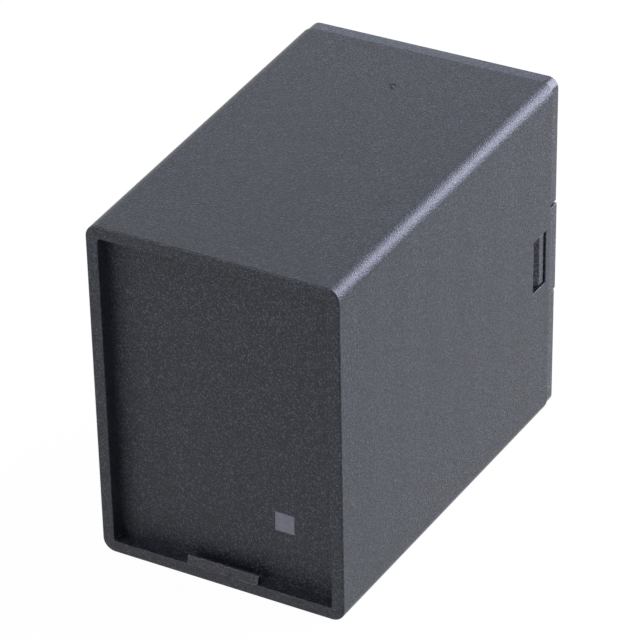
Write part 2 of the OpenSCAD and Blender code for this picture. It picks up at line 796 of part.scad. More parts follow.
// A can that stands on the board, with a groove near its foot
module filter_capacitor() {
    groove = 0.3;
    groove_at = 1.9;
    groove_w = 1;
    color("#26262c")
        on_board(capacitor_y, capacitor_z)
            rotate_extrude()
                polygon([[0, 0], [capacitor_r, 0], [capacitor_r, groove_at - groove_w / 2],
                    [capacitor_r - groove, groove_at], [capacitor_r, groove_at + groove_w / 2],
                    [capacitor_r, capacitor_h - groove], [capacitor_r - groove, capacitor_h],
                    [0, capacitor_h]]);
}

module controller_chip() {
    notch_r = 0.8;
    notch_d = 0.6;
    color("#222224")
        on_board(chip_y, chip_z)
            difference() {
                translate([-chip_l / 2, -chip_w / 2, chip_lift]) cube([chip_l, chip_w, chip_h]);
                translate([chip_l / 2, 0, chip_lift + chip_h - notch_d])
                    cylinder(r = notch_r, h = notch_d + past);
            }
}

// Flat legs that leave the chip's sides and go down through the board
module chip_legs() {
    leg_t = 0.25;
    leg_w = 0.44;
    leg_top = chip_lift + chip_h / 2;
    reach = (row_pitch - chip_w) / 2;
    color("#cfcfcf")
        on_board(chip_y, chip_z)
            for (side = [0, 1], k = [-1.5:1.5])
                mirror([0, side, 0])
                    translate([k * leg_pitch - leg_w / 2, row_pitch / 2, 0]) {
                        translate([0, -leg_t / 2, -board_t - tail_len])
                            cube([leg_w, leg_t, leg_top + board_t + tail_len]);
                        translate([0, -reach, leg_top - leg_t]) cube([leg_w, reach, leg_t]);
                    }
}

// A moulded half-round body that stands on three wires
module small_transistor(i) {
    color("#1d1d1f")
        on_board(transistor_y(i), transistor_z)
            translate([0, 0, transistor_lift])
                difference() {
                    cylinder(r = transistor_r, h = transistor_h);
                    translate([transistor_flat, -transistor_r - past, -past])
                        cube([2 * transistor_r, 2 * (transistor_r + past), transistor_h + 2 * past]);
                }
}

module rectifier_diodes() {
    color("#2a2a2a")
        for (i = THREE)
            translate([board_x - low_lift - diode_r, diode_y(i) + diode_len / 2, diode_z])
                rotate([90, 0, 0])
                    cylinder(r = diode_r, h = diode_len);
}

// Bodies with a collar at each end
module signal_resistors() {
    half = small_len / 2;
    collar_l = 1.4;
    waist = 0.2;
    waist_r = small_r - waist;
    color("#c9ad7f")
        for (i = [0, 1])
            translate([board_x - low_lift - small_r, small_y(i), small_z])
                turned([[0, -half], [small_r, -half], [small_r, -half + collar_l],
                    [waist_r, -half + collar_l + waist], [waist_r, half - collar_l - waist],
                    [small_r, half - collar_l], [small_r, half], [0, half]]);
}

// The tinned wires of the lamp, resistors, absorbers, capacitor, diodes and transistors
module part_wires() {
    rim_drop = varistor_r - sqrt(pow(varistor_r, 2) - pow(varistor_span / 2, 2));
    color("#cfcfcf") {
        for (i = THREE)
            on_board(resistor_y, resistor_z(i)) rotate([0, 0, 90])
                bent_feet(resistor_len, resistor_span, resistor_lift + resistor_r, lead_r);
        for (i = THREE)
            on_board(diode_y(i), diode_z) rotate([0, 0, 90])
                bent_feet(diode_len, diode_span, low_lift + diode_r, wire_r);
        for (i = [0, 1])
            on_board(small_y(i), small_z) rotate([0, 0, 90])
                bent_feet(small_len, small_span, low_lift + small_r, wire_r);
        for (i = THREE, s = [-1, 1])
            on_board(varistor_y, varistor_z(i))
                foot(s * varistor_span / 2, 0, wire_r, varistor_lift + rim_drop - wire_r);
        for (s = [-1, 1])
            on_board(capacitor_y, capacitor_z) foot(0, s * capacitor_span / 2, wire_r, 0);
        for (i = [0, 1], k = [-1:1])
            on_board(transistor_y(i), transistor_z) foot(0, k * leg_pitch / 2, wire_r, transistor_lift);
        for (s = [-1, 1]) lamp_wire(window_z + s * leg_pitch / 2);
    }
}

// A lamp wire runs back from the lamp and turns to the board
module lamp_wire(z) {
    bend = 2 * wire_r;
    translate([window_x, 0, z]) {
        translate([0, lamp_foot_y - bend, 0])
            rotate([90, 0, 0])
                cylinder(r = wire_r, h = lamp_foot_y - bend - lamp_y_rear);
        translate([bend, lamp_foot_y - bend, 0])
            rotate([0, 0, 90])
                rotate_extrude(angle = 90)
                    translate([bend, 0]) circle(wire_r);
        translate([bend, lamp_foot_y, 0])
            rotate([0, 90, 0])
                cylinder(r = wire_r, h = board_back + tail_len - window_x - bend);
    }
}

// The output relay's pieces are drawn in its own frame
module in_relay() {
    on_board(relay_y, relay_z) children();
}

module relay_pin(x, y, top) {
    foot(x, y, relay_pin_r, top);
}

module relay_base() {
    half_x = relay_w / 2 - case_t - case_gap;
    half_y = relay_l / 2 - case_t - case_gap;
    color("#1c2a4a")
        in_relay()
            difference() {
                translate([-half_x, -half_y, 0]) cube([2 * half_x, 2 * half_y, relay_base_t]);
                for (hole = relay_holes)
                    translate([hole[1] - relay_z, hole[0] - relay_y, -past])
                        cylinder(r = relay_pin_r + press_gap, h = relay_base_t + 2 * past);
            }
}

module relay_case() {
    color("#30488a")
        in_relay()
            difference() {
                translate([-relay_w / 2, -relay_l / 2, case_lift])
                    cube([relay_w, relay_l, relay_h - case_lift]);
                translate([-relay_w / 2 + case_t, -relay_l / 2 + case_t, case_lift - past])
                    cube([relay_w - 2 * case_t, relay_l - 2 * case_t,
                        relay_h - case_t - case_lift + past]);
            }
}

// Heights of the coil, from the yoke's foot to the pole face, and its tube
coil_low = relay_base_t + yoke_t;
coil_high = pole_top - pole_t;
core_gap = 0.05;
flange_over = 0.1;
tube_bore_r = core_r + core_gap;
tube_r = tube_bore_r + bobbin_t;

module coil_bobbin() {
    color("#ece6d6")
        in_relay()
            translate([0, core_y, 0])
                difference() {
                    union() {
                        translate([0, 0, coil_low]) cylinder(r = tube_r, h = coil_high - coil_low);
                        for (h = [coil_low, coil_high - bobbin_t])
                            translate([-winding_r - flange_over, -winding_r - flange_over, h])
                                cube([2 * (winding_r + flange_over), 2 * (winding_r + flange_over),
                                    bobbin_t]);
                    }
                    translate([0, 0, coil_low - past])
                        cylinder(r = tube_bore_r, h = coil_high - coil_low + 2 * past);
                    for (s = [-1, 1])
                        translate([s * coil_pin_x, coil_pin_y - core_y, coil_low - past])
                            cylinder(r = relay_pin_r + press_gap, h = bobbin_t + 2 * past);
                }
}

module coil_winding() {
    color("#a5602c")
        in_relay()
            translate([0, core_y, coil_low + bobbin_t])
                difference() {
                    cylinder(r = winding_r, h = coil_high - coil_low - 2 * bobbin_t);
                    translate([0, 0, -past]) cylinder(r = tube_r, h = coil_high);
                }
}

module relay_core() {
    color("#9fa2a6")
        in_relay()
            translate([0, core_y, 0]) {
                translate([0, 0, relay_base_t])
                    cylinder(r = core_r, h = pole_top - relay_base_t - pole_t / 2);
                translate([0, 0, pole_top - pole_t]) cylinder(r = pole_r, h = pole_t);
            }
}

// The iron frame: a foot under the coil, a leg beside it and a terminal below the leg
module relay_yoke() {
    pin_room = 0.35;
    foot_w = 2 * (coil_pin_x - relay_pin_r - pin_room);
    color("#8f9296")
        in_relay() {
            difference() {
                translate([-foot_w / 2, yoke_y, relay_base_t])
                    cube([foot_w, core_y + winding_r - yoke_y, yoke_t]);
                translate([0, core_y, relay_base_t - past])
                    cylinder(r = core_r, h = yoke_t + 2 * past);
            }
            translate([-yoke_w / 2, yoke_y, relay_base_t]) cube([yoke_w, yoke_t, yoke_h]);
            relay_pin(common_x, common_y, relay_base_t + weld);
        }
}

module armature() {
    color("#a4a7ab")
        in_relay() {
            translate([-yoke_w / 2, armature_y_tail, hinge_h])
                cube([yoke_w, armature_y_front - armature_y_tail, armature_t]);
            for (s = [-1, 1])
                translate([s * rivet_x, rivet_y, armature_top - weld])
                    cylinder(r = rivet_r, h = weld + blade_t + rivet_head);
        }
}

// A thin blade riveted on the armature, which carries the moving contact at its free end
module contact_blade() {
    lap = 1.6;
    beyond = 0.3;
    color("#c08a4a")
        in_relay()
            difference() {
                translate([-blade_w / 2, rivet_y - lap, blade_h])
                    cube([blade_w, contact_y + contact_r + beyond - rivet_y + lap, blade_t]);
                for (s = [-1, 1])
                    translate([s * rivet_x, rivet_y, blade_h - past])
                        cylinder(r = rivet_r, h = blade_t + 2 * past);
                translate([0, contact_y, blade_h - past])
                    cylinder(r = contact_r / 2, h = blade_t + 2 * past);
            }
}

// A rivet with a contact head on each side of the blade
module moving_contact() {
    color("#d8d8d8")
        in_relay()
            translate([0, contact_y, contact_low]) {
                cylinder(r = contact_r, h = contact_h);
                cylinder(r = contact_r / 2, h = contact_high - contact_low);
                translate([0, 0, contact_h + blade_t]) cylinder(r = contact_r, h = contact_h);
            }
}

// A flat spring riveted to the back of the yoke, bent over the armature's tail
module return_spring() {
    side_room = 1;
    spring_w = yoke_w - 2 * side_room;
    leg = 10;
    top = armature_top + 1.5 * case_gap;
    color("#c39a5a")
        in_relay() {
            translate([-spring_w / 2, yoke_y - blade_t, yoke_top - leg])
                cube([spring_w, blade_t, top + blade_t - yoke_top + leg]);
            translate([-spring_w / 2, yoke_y - blade_t, top])
                cube([spring_w, blade_t + yoke_t, blade_t]);
        }
}

// A fixed contact: a post through the base, a strip over to the blade, and a contact button.
// side is -1 or 1 across the relay, button is the height of the contact's free face, and up is
// 1 if the button faces up.
module fixed_contact(side, button, up) {
    strip_low = up > 0 ? button - contact_h - strip_t : button + contact_h;
    beyond = 0.2;
    edge = contact_r + beyond;
    mirror([side > 0 ? 0 : 1, 0, 0]) {
        translate([-edge, contact_y - edge, strip_low])
            cube([edge + post_x_out, 2 * edge, strip_t]);
        translate([post_x_in, contact_y, strip_low])
            cube([post_x_out - post_x_in, post_y + strip_t / 2 - contact_y, strip_t]);
        translate([post_x_in, post_y - strip_t / 2, relay_base_t])
            cube([post_x_out - post_x_in, strip_t, strip_low + strip_t - relay_base_t]);
        relay_pin((post_x_in + post_x_out) / 2, post_y, relay_base_t + weld);
    }
    translate([0, contact_y, up > 0 ? button - contact_h - weld / 2 : button])
        cylinder(r = contact_r, h = contact_h + weld / 2);
}

module resting_contact() {
    color("#c9a25e") in_relay() fixed_contact(1, fixed_high, -1);
}

module working_contact() {
    color("#c9a25e") in_relay() fixed_contact(-1, fixed_low, 1);
}

module coil_pins() {
    color("#cfcfcf")
        in_relay()
            for (s = [-1, 1]) relay_pin(s * coil_pin_x, coil_pin_y, coil_low + bobbin_t);
}

housing();
light_pipe();
base();
for (i = PIN_NUMBERS) pin(i);
for (i = PIN_NUMBERS) lead(i);
circuit_board();
status_lamp();
dropping_resistor(0);  // dropping_resistor_1
dropping_resistor(1);  // dropping_resistor_2
dropping_resistor(2);  // dropping_resistor_3
surge_absorber(0);  // surge_absorber_1
surge_absorber(1);  // surge_absorber_2
surge_absorber(2);  // surge_absorber_3
filter_capacitor();
controller_chip();
chip_legs();
small_transistor(0);  // voltage_regulator
small_transistor(1);  // coil_driver
rectifier_diodes();
signal_resistors();
part_wires();
relay_base();
relay_case();
coil_bobbin();
coil_winding();
relay_core();
relay_yoke();
armature();
contact_blade();
moving_contact();
return_spring();
resting_contact();
working_contact();
coil_pins();
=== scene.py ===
"""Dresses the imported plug-in phase monitor relay and stands it in a plain studio.

Sizes in the classes are in millimetres in the part's own frame: the plug's seat is at the origin,
+X is right, +Z is up, and +Y runs to the rear. The finished pieces are in metres.
"""

from __future__ import annotations

import json
import logging
import math
from collections.abc import Sequence
from dataclasses import dataclass, field
from enum import IntEnum

import bpy
import numpy as np
from mathutils import Euler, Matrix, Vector

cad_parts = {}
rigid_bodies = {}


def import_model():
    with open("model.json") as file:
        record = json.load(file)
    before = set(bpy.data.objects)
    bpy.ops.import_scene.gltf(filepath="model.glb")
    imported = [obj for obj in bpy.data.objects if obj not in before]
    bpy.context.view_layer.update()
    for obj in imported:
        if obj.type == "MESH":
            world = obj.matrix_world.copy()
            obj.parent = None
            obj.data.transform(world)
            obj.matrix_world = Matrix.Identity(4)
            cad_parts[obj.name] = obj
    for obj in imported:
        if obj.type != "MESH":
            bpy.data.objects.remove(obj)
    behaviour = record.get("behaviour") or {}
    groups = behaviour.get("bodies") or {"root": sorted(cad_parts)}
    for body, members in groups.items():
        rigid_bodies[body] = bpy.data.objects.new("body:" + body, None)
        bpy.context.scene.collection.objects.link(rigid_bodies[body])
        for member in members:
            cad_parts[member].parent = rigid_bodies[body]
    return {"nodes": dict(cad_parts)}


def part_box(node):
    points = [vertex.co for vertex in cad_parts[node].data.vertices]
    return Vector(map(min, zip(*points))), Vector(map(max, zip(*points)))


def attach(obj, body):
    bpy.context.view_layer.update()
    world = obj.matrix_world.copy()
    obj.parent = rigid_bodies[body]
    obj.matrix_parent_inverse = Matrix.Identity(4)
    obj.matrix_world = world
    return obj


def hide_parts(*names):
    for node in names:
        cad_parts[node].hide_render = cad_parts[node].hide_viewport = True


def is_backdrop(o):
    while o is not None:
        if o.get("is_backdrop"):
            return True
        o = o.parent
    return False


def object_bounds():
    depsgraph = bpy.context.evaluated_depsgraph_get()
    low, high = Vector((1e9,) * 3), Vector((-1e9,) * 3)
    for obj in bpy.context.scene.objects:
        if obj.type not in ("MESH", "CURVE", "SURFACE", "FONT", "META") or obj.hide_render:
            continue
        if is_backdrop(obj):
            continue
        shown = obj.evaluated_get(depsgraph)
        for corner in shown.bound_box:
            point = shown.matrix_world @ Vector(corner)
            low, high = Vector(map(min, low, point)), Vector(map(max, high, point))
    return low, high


log = logging.getLogger("phase_monitor")

MM = 0.001
ROOT = "root"
WHITE = "#ffffff"
# How far one shell of a piece runs into the next, in millimetres
OVERLAP = 0.2
# Edges that turn by more than this angle, in degrees, are rounded, in this many steps
SHARP_ANGLE = 35
ROUNDING_STEPS = 2
# The column of a ring's row that holds its depth
DEPTH_COLUMN = 3

Points = np.ndarray
Faces = list[np.ndarray]
Shell = tuple[Points, Faces]
Tree = bpy.types.NodeTree
Socket = bpy.types.NodeSocket


class Axis(IntEnum):
    """The axis that an outline is carried along."""

    ACROSS = 0
    DEPTH = 1
    UP = 2


# Surfaces


def grid_quads(rows: int, columns: int, closed_rows: bool = False) -> np.ndarray:
    """Joins the points of a grid whose columns close on themselves.

    Quad (i, j) joins points (i, j), (i + 1, j), (i + 1, j + 1) and (i, j + 1).

    Args:
        rows: Number of rings.
        columns: Number of points on a ring.
        closed_rows: Whether the last ring joins the first.

    Returns:
        Point numbers, as an array of rows, columns and four corners.
    """
    bands = rows if closed_rows else rows - 1
    i, j = np.meshgrid(np.arange(bands), np.arange(columns), indexing="ij")
    i_next, j_next = (i + 1) % rows, (j + 1) % columns
    return np.stack([i * columns + j, i_next * columns + j, i_next * columns + j_next,
                     i * columns + j_next], axis=-1)


def outward(points: Points, faces: Faces) -> Faces:
    """Turns the faces of a closed shell outwards.

    The volume is a sixth of the sum, over the triangles of all faces, of a corner's product with
    the cross product of the other two. It is negative where the faces point inwards.

    Args:
        points: The shell's points.
        faces: Its faces, in groups with the same number of corners.

    Returns:
        The same faces, all turned round if the volume is negative.
    """
    volume = 0.0
    for group in faces:
        corner = points[group]
        for k in range(1, group.shape[1] - 1):
            volume += np.einsum("ij,ij->", corner[:, 0], np.cross(corner[:, k], corner[:, k + 1]))
    return faces if volume > 0 else [group[:, ::-1] for group in faces]


def turned(profile: Sequence[tuple[float, float]], steps: int,
           centre: tuple[float, float] = (0.0, 0.0)) -> Shell:
    """Turns a profile about the depth axis.

    Point (t, a) is (cx + r(t) cos a, y(t), cz + r(t) sin a). The profile starts and ends on the
    axis.

    Args:
        profile: Points of radius and depth.
        steps: Number of points round the axis.
        centre: The axis, across and up.

    Returns:
        Points and faces.
    """
    line = np.array(profile, float)
    angle = np.arange(steps) * 2 * np.pi / steps
    radius, depth = line[1:-1, :1], line[1:-1, 1:]
    rings = np.stack([centre[0] + radius * np.cos(angle), depth + 0 * angle,
                      centre[1] + radius * np.sin(angle)], axis=-1).reshape(-1, 3)
    poles = np.array([[centre[0], line[0, 1], centre[1]], [centre[0], line[-1, 1], centre[1]]])
    points = np.concatenate([rings, poles])
    first, last = np.arange(steps), np.arange(steps) + len(rings) - steps
    fans = [np.stack([np.full(steps, len(rings)), first, np.roll(first, -1)], axis=-1),
            np.stack([np.full(steps, len(rings) + 1), np.roll(last, -1), last], axis=-1)]
    faces = [grid_quads(len(line) - 2, steps).reshape(-1, 4), *fans]
    return points, outward(points, faces)


def carried(outline: Sequence[tuple[float, float]] | np.ndarray, start: float, end: float,
            axis: Axis) -> Shell:
    """Carries a closed outline straight along an axis and closes both ends.

    Point (t, s) is the outline's point t, set at place s on the axis.

    Args:
        outline: Points in the plane across the axis, in the order of the other two axes.
        start: Place of one end on the axis.
        end: Place of the other end.
        axis: The axis.

    Returns:
        Points and faces.
    """
    line = np.array(outline, float)
    count = len(line)
    points = np.concatenate([np.insert(line, axis, place, axis=1) for place in (start, end)])
    ends = np.arange(2 * count).reshape(2, count)
    ends[1] = ends[1, ::-1]
    faces = [grid_quads(2, count).reshape(-1, 4), ends]
    return points, outward(points, faces)


def block(low: Sequence[float], high: Sequence[float]) -> Shell:
    """Makes a block between two corners.

    Args:
        low: Its lowest corner.
        high: Its highest corner.

    Returns:
        Points and faces.
    """
    outline = [(low[0], low[1]), (high[0], low[1]), (high[0], high[1]), (low[0], high[1])]
    return carried(outline, low[2], high[2], Axis.UP)


def arc(start: float, end: float, steps: int) -> np.ndarray:
    """Gives evenly spaced angles, in radians, from angles in degrees."""
    return np.radians(np.linspace(start, end, steps + 1))


def smooth_step(share: np.ndarray) -> np.ndarray:
    """Rises smoothly from 0 to 1 while the share t does: 3 t^2 - 2 t^3."""
    t = np.clip(share, 0, 1)
    return 3 * t ** 2 - 2 * t ** 3


def as_rows(*columns: float | np.ndarray) -> np.ndarray:
    """Stacks numbers and arrays of one length as the columns of a table."""
    return np.stack(np.broadcast_arrays(*np.atleast_1d(*columns)), axis=-1)


def mirrored(points: Points, faces: Faces, axis: Axis) -> Shell:
    """Mirrors a shell in the plane across an axis and keeps its faces outwards.

    Args:
        points: The shell's points.
        faces: Its faces.
        axis: The axis whose sign changes.

    Returns:
        Points and faces.
    """
    sign = np.ones(3)
    sign[axis] = -1
    return points * sign, [group[:, ::-1] for group in faces]


@dataclass
class Piece:
    """One mesh piece, gathered from closed shells in millimetres.

    Args:
        name: The piece's name.
        bevel: Width of the rounding along its sharp edges.
        points: The points of the shells added so far.
        faces: Their faces.
        count: The number of their points.
    """

    name: str
    bevel: float
    points: list[Points] = field(default_factory=list)
    faces: list[list[int]] = field(default_factory=list)
    count: int = 0

    def add(self, shell: Shell) -> None:
        """Adds a shell.

        Args:
            shell: Its points and faces.
        """
        points, faces = shell
        for group in faces:
            self.faces.extend((group + self.count).tolist())
        self.points.append(points)
        self.count += len(points)

    def add_both_sides(self, shell: Shell) -> None:
        """Adds a shell and its mirror image on the left."""
        self.add(shell)
        self.add(mirrored(*shell, Axis.ACROSS))

    def make(self, finish: Finish, replaces: Sequence[str]) -> None:
        """Makes the object, rounds its edges, dresses it and sets it on the root body.

        Args:
            finish: Its finish.
            replaces: The part's nodes that it stands for.
        """
        mesh = bpy.data.meshes.new(self.name)
        mesh.from_pydata(np.concatenate(self.points) * MM, [], self.faces)
        mesh.polygons.foreach_set("use_smooth", np.ones(len(mesh.polygons), bool))
        mesh.materials.append(finish.material())
        piece = bpy.data.objects.new(self.name, mesh)
        bpy.context.scene.collection.objects.link(piece)
        rounding = piece.modifiers.new("edge rounding", "BEVEL")
        rounding.limit_method = "ANGLE"
        rounding.angle_limit = math.radians(SHARP_ANGLE)
        rounding.width = self.bevel * MM
        rounding.segments = ROUNDING_STEPS
        piece.modifiers.new("flat faces stay flat", "WEIGHTED_NORMAL")
        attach(piece, ROOT)
        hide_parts(*replaces)
        log.info("%s: %d points, stands for %s", self.name, self.count, ", ".join(replaces))


# Finishes


# Angle, in radians, by which a wave texture turns in one unit at a scale of 1
WAVE_TURN = 20


def wave_scale(pitch: float) -> float:
    """Gives the scale of a wave texture that repeats after a pitch in millimetres."""
    return 2 * math.pi / (WAVE_TURN * pitch * MM)


def linear(colour: str) -> tuple[float, float, float, float]:
    """Turns an sRGB colour to linear light.

    A value v up to 0.04045 becomes v / 12.92, and a higher one ((v + 0.055) / 1.055)^2.4.

    Args:
        colour: The colour in hex.

    Returns:
        Red, green, blue and an alpha of 1.
    """
    value = np.array([int(colour[k:k + 2], 16) for k in (1, 3, 5)]) / 255
    light = np.where(value <= 0.04045, value / 12.92, ((value + 0.055) / 1.055) ** 2.4)
    return (*light.tolist(), 1.0)


def add_node(tree: Tree, kind: str, inputs: dict | None = None,
             **settings: object) -> bpy.types.Node:
    """Adds a node with its settings and its inputs.

    Args:
        tree: The node tree.
        kind: The node's type.
        inputs: A value, or a socket to link from, for each input's name or number.
        settings: Values of the node's own properties.

    Returns:
        The node.
    """
    node = tree.nodes.new(kind)
    for key, value in settings.items():
        setattr(node, key, value)
    for key, value in (inputs or {}).items():
        if isinstance(value, Socket):
            tree.links.new(value, node.inputs[key])
        else:
            node.inputs[key].default_value = value
    return node


@dataclass(frozen=True)
class Finish:
    """A finish: one material, from its real colour, gloss and surface, plus painted light on some
    finishes.

    Args:
        name: What it is and how its surface was made, which names the material.
        slot: The record's slot that it stands for. It is not used here.
        colour: Its sRGB colour.
        roughness: Its roughness.
        mottle_and_painted_light: Colour of its darker or lighter parts: random tone on most
            finishes, painted glints on spark-eroded ABS, and painted shade in a winding's grooves.
        metallic: 1 for bare metal.
        ior: Its index of refraction.
        grain: Size of its surface grain in millimetres.
        relief: Height of the grain in millimetres, or 0 for a smooth surface.
        mottle_size: Size of the darker or lighter parts in millimetres.
        shades: The values of the pattern at which it has its colour and its mottle.
        hollow: Whether the pattern's high values are low on the surface.
    """

    name: str
    slot: str
    colour: str
    roughness: float
    # Random tone on most finishes, painted glints on spark-eroded ABS, painted shade in a winding's
    # grooves
    mottle_and_painted_light: str
    metallic: float = 0.0
    ior: float = 1.5
    grain: float = 1.0
    relief: float = 0.0
    mottle_size: float = 1.0
    shades: tuple[float, float] = (0.35, 0.7)
    hollow: bool = False

    def material(self) -> bpy.types.Material:
        """Makes the finish's material, the first time that it is asked for.

        Returns:
            The material.
        """
        known = bpy.data.materials.get(self.name)
        if known:
            return known
        material = bpy.data.materials.new(self.name)
        material.use_nodes = True
        material.diffuse_color = linear(self.colour)
        tree = material.node_tree
        tree.nodes.clear()
        shader = add_node(tree, "ShaderNodeBsdfPrincipled", {
            "Base Color": linear(self.colour), "Roughness": self.roughness,
            "Metallic": self.metallic, "IOR": self.ior})
        add_node(tree, "ShaderNodeOutputMaterial", {"Surface": shader.outputs["BSDF"]})
        place = add_node(tree, "ShaderNodeTexCoord").outputs["Object"]
        shade, height = self.pattern(tree, place)
        ramp = add_node(tree, "ShaderNodeValToRGB", {"Fac": shade})
        stops = sorted(zip(self.shades, (self.colour, self.mottle_and_painted_light)))
        for element, (position, colour) in zip(ramp.color_ramp.elements, stops):
            element.position, element.color = position, linear(colour)
        tree.links.new(ramp.outputs["Color"], shader.inputs["Base Color"])
        if self.relief:
            bump = add_node(tree, "ShaderNodeBump", {
                "Height": height, "Distance": self.relief * MM}, invert=self.hollow)
            tree.links.new(bump.outputs["Normal"], shader.inputs["Normal"])
        return material

    def pattern(self, tree: Tree, place: Socket) -> tuple[Socket, Socket]:
        """Adds cloudy darker and lighter parts and a fine uneven grain.

        Args:
            tree: The material's node tree.
            place: Object coordinates.

        Returns:
            What the colour follows and what the relief follows.
        """
        cloud = add_node(tree, "ShaderNodeTexNoise", {
            "Vector": place, "Scale": 1 / (self.mottle_size * MM), "Detail": 3.0})
        if not self.relief:
            return cloud.outputs["Fac"], cloud.outputs["Fac"]
        bumps = add_node(tree, "ShaderNodeTexNoise", {
            "Vector": place, "Scale": 1 / (self.grain * MM), "Detail": 2.0, "Roughness": 0.6})
        return cloud.outputs["Fac"], bumps.outputs["Fac"]


@dataclass(frozen=True)
class SparkErodedAbs(Finish):
    """Charcoal ABS from a spark-eroded mould: a dense grain of round bumps, some painted with a pale
    glint.

    The real grain is about 0.15 mm. It is drawn at 0.18 mm, the finest that shows in the picture.
    """

    # Most bumps keep the plain colour; the rest run up to the pale colour of a painted glint
    shades: tuple[float, float] = (0.6, 1.0)
    hollow: bool = True

    def pattern(self, tree: Tree, place: Socket) -> tuple[Socket, Socket]:
        """Gives each bump a round top and its own colour, from dark up to a pale painted glint.

        Args:
            tree: The material's node tree.
            place: Object coordinates.

        Returns:
            Each bump's own value for its colour and painted glint, and the distance from its middle.
        """
        bumps = add_node(tree, "ShaderNodeTexVoronoi", {
            "Vector": place, "Scale": 1 / (self.grain * MM)})
        shade = add_node(tree, "ShaderNodeSeparateColor", {"Color": bumps.outputs["Color"]})
        return shade.outputs["Red"], bumps.outputs["Distance"]


@dataclass(frozen=True)
class WovenLaminate(Finish):
    """Green glass-epoxy laminate: a weave of 0.38 mm under a glossy solder mask."""

    shades: tuple[float, float] = (0.0, 1.0)

    def pattern(self, tree: Tree, place: Socket) -> tuple[Socket, Socket]:
        """Crosses two sets of threads, along the depth and up the board.

        Args:
            tree: The material's node tree.
            place: Object coordinates.

        Returns:
            The weave, for the colour and for the relief.
        """
        threads = [add_node(tree, "ShaderNodeTexWave", {
            "Vector": place, "Scale": wave_scale(self.grain), "Distortion": 0.4},
            bands_direction=way) for way in ("Y", "Z")]
        weave = add_node(tree, "ShaderNodeMath", {
            0: threads[0].outputs["Fac"], 1: threads[1].outputs["Fac"]}, operation="MULTIPLY")
        return weave.outputs[0], weave.outputs[0]


@dataclass(frozen=True)
class Winding(Finish):
    """Enamelled copper wire, wound in turns across the coil's axis: fine bright ridges, with painted
    shade in the grooves between them.

    The real wire is about 0.08 mm. It is drawn at 0.157 mm, so that the turns show.
    """

    # The grooves take the darker colour as painted shade, and the ridges the plain colour
    shades: tuple[float, float] = (0.6, 0.0)

    def pattern(self, tree: Tree, place: Socket) -> tuple[Socket, Socket]:
        """Adds one ridge and one groove, darkened with painted shade, for each turn, along the
        coil's axis.

        Args:
            tree: The material's node tree.
            place: Object coordinates.

        Returns:
            The turns, for the colour and for the relief.
        """
        turns = add_node(tree, "ShaderNodeTexWave", {
            "Vector": place, "Scale": wave_scale(self.grain), "Distortion": 0.2},
            bands_direction="X")
        return turns.outputs["Fac"], turns.outputs["Fac"]


# Charcoal ABS from a spark-eroded mould: dark and dull, with one soft, broad sheen and painted
# glints on pale bumps
HOUSING_ABS = SparkErodedAbs(
    "spark_eroded_abs", "housing", "#101419", roughness=0.3, ior=1.36, grain=0.18, relief=0.05,
    mottle_and_painted_light="#373e47")
# The same ABS from a smoother mould: a little paler, with a closer sheen and the same painted glints
BASE_ABS = SparkErodedAbs(
    "moulded_abs", "base", "#191b1f", roughness=0.24, ior=1.36, grain=0.18, relief=0.012,
    mottle_and_painted_light="#4a4d54")
# Frosted acrylic, with a moulded face that scatters the light of the lamp behind it
PIPE_ACRYLIC = Finish(
    "frosted_acrylic", "light_pipe", "#4f5157", roughness=0.4, ior=1.49, grain=0.3, relief=0.006,
    mottle_and_painted_light="#5c5e68")
# Nickel-plated brass, turned and bright, with a faintly uneven plate
PLATED_PIN = Finish(
    "nickel_plated_brass", "plated_pin", "#cfc9bb", roughness=0.24, metallic=1.0, grain=0.5,
    relief=0.002, mottle_and_painted_light="#b9b3a3", mottle_size=2.5)
# Tinned copper wire: a soft grey gloss
TINNED_WIRE = Finish(
    "tinned_copper", "tinned_wire", "#cfccc4", roughness=0.34, metallic=1.0, grain=0.4,
    relief=0.003, mottle_and_painted_light="#b4b1aa", mottle_size=1.5)
# Glass-epoxy laminate: a fine green weave that shows through its glossy mask
LAMINATE = WovenLaminate(
    "woven_laminate", "laminate", "#1c5d35", roughness=0.3, ior=1.55, grain=0.377, relief=0.01,
    mottle_and_painted_light="#2a7a48")
# Cast green epoxy of an indicator lamp: smooth and glossy
LAMP_EPOXY = Finish(
    "cast_green_epoxy", "lamp", "#5fae5f", roughness=0.12, ior=1.53, mottle_and_painted_light="#4f9c50",
    mottle_size=2.0)
# Cement-coated ceramic, matt and slightly sandy
CERAMIC = Finish(
    "cement_coated_ceramic", "resistor_ceramic", "#b9b6a6", roughness=0.75, grain=0.25,
    relief=0.02, mottle_and_painted_light="#a8a594", mottle_size=1.5)
# Dipped blue epoxy, glossy with a slightly wavy skin
ABSORBER_EPOXY = Finish(
    "dipped_blue_epoxy", "absorber_epoxy", "#2f5f9e", roughness=0.3, ior=1.55, grain=1.4,
    relief=0.04, mottle_and_painted_light="#28528b", mottle_size=3.0)
# PVC sleeve shrunk over an aluminium can: black, with a soft gloss
SLEEVE = Finish(
    "shrunk_pvc_sleeve", "capacitor_sleeve", "#26262c", roughness=0.35, ior=1.53, grain=1.0,
    relief=0.01, mottle_and_painted_light="#2e2e36", mottle_size=4.0)
# Moulded black epoxy with a matt skin
BLACK_EPOXY = Finish(
    "moulded_black_epoxy", "black_epoxy", "#202022", roughness=0.55, ior=1.55, grain=0.2,
    relief=0.008, mottle_and_painted_light="#2a2a2d")
# Baked tan lacquer over a small resistor: glossy, slightly uneven
LACQUER = Finish(
    "baked_tan_lacquer", "resistor_lacquer", "#c9ad7f", roughness=0.35, grain=0.6, relief=0.01,
    mottle_and_painted_light="#bb9e6e", mottle_size=1.2)
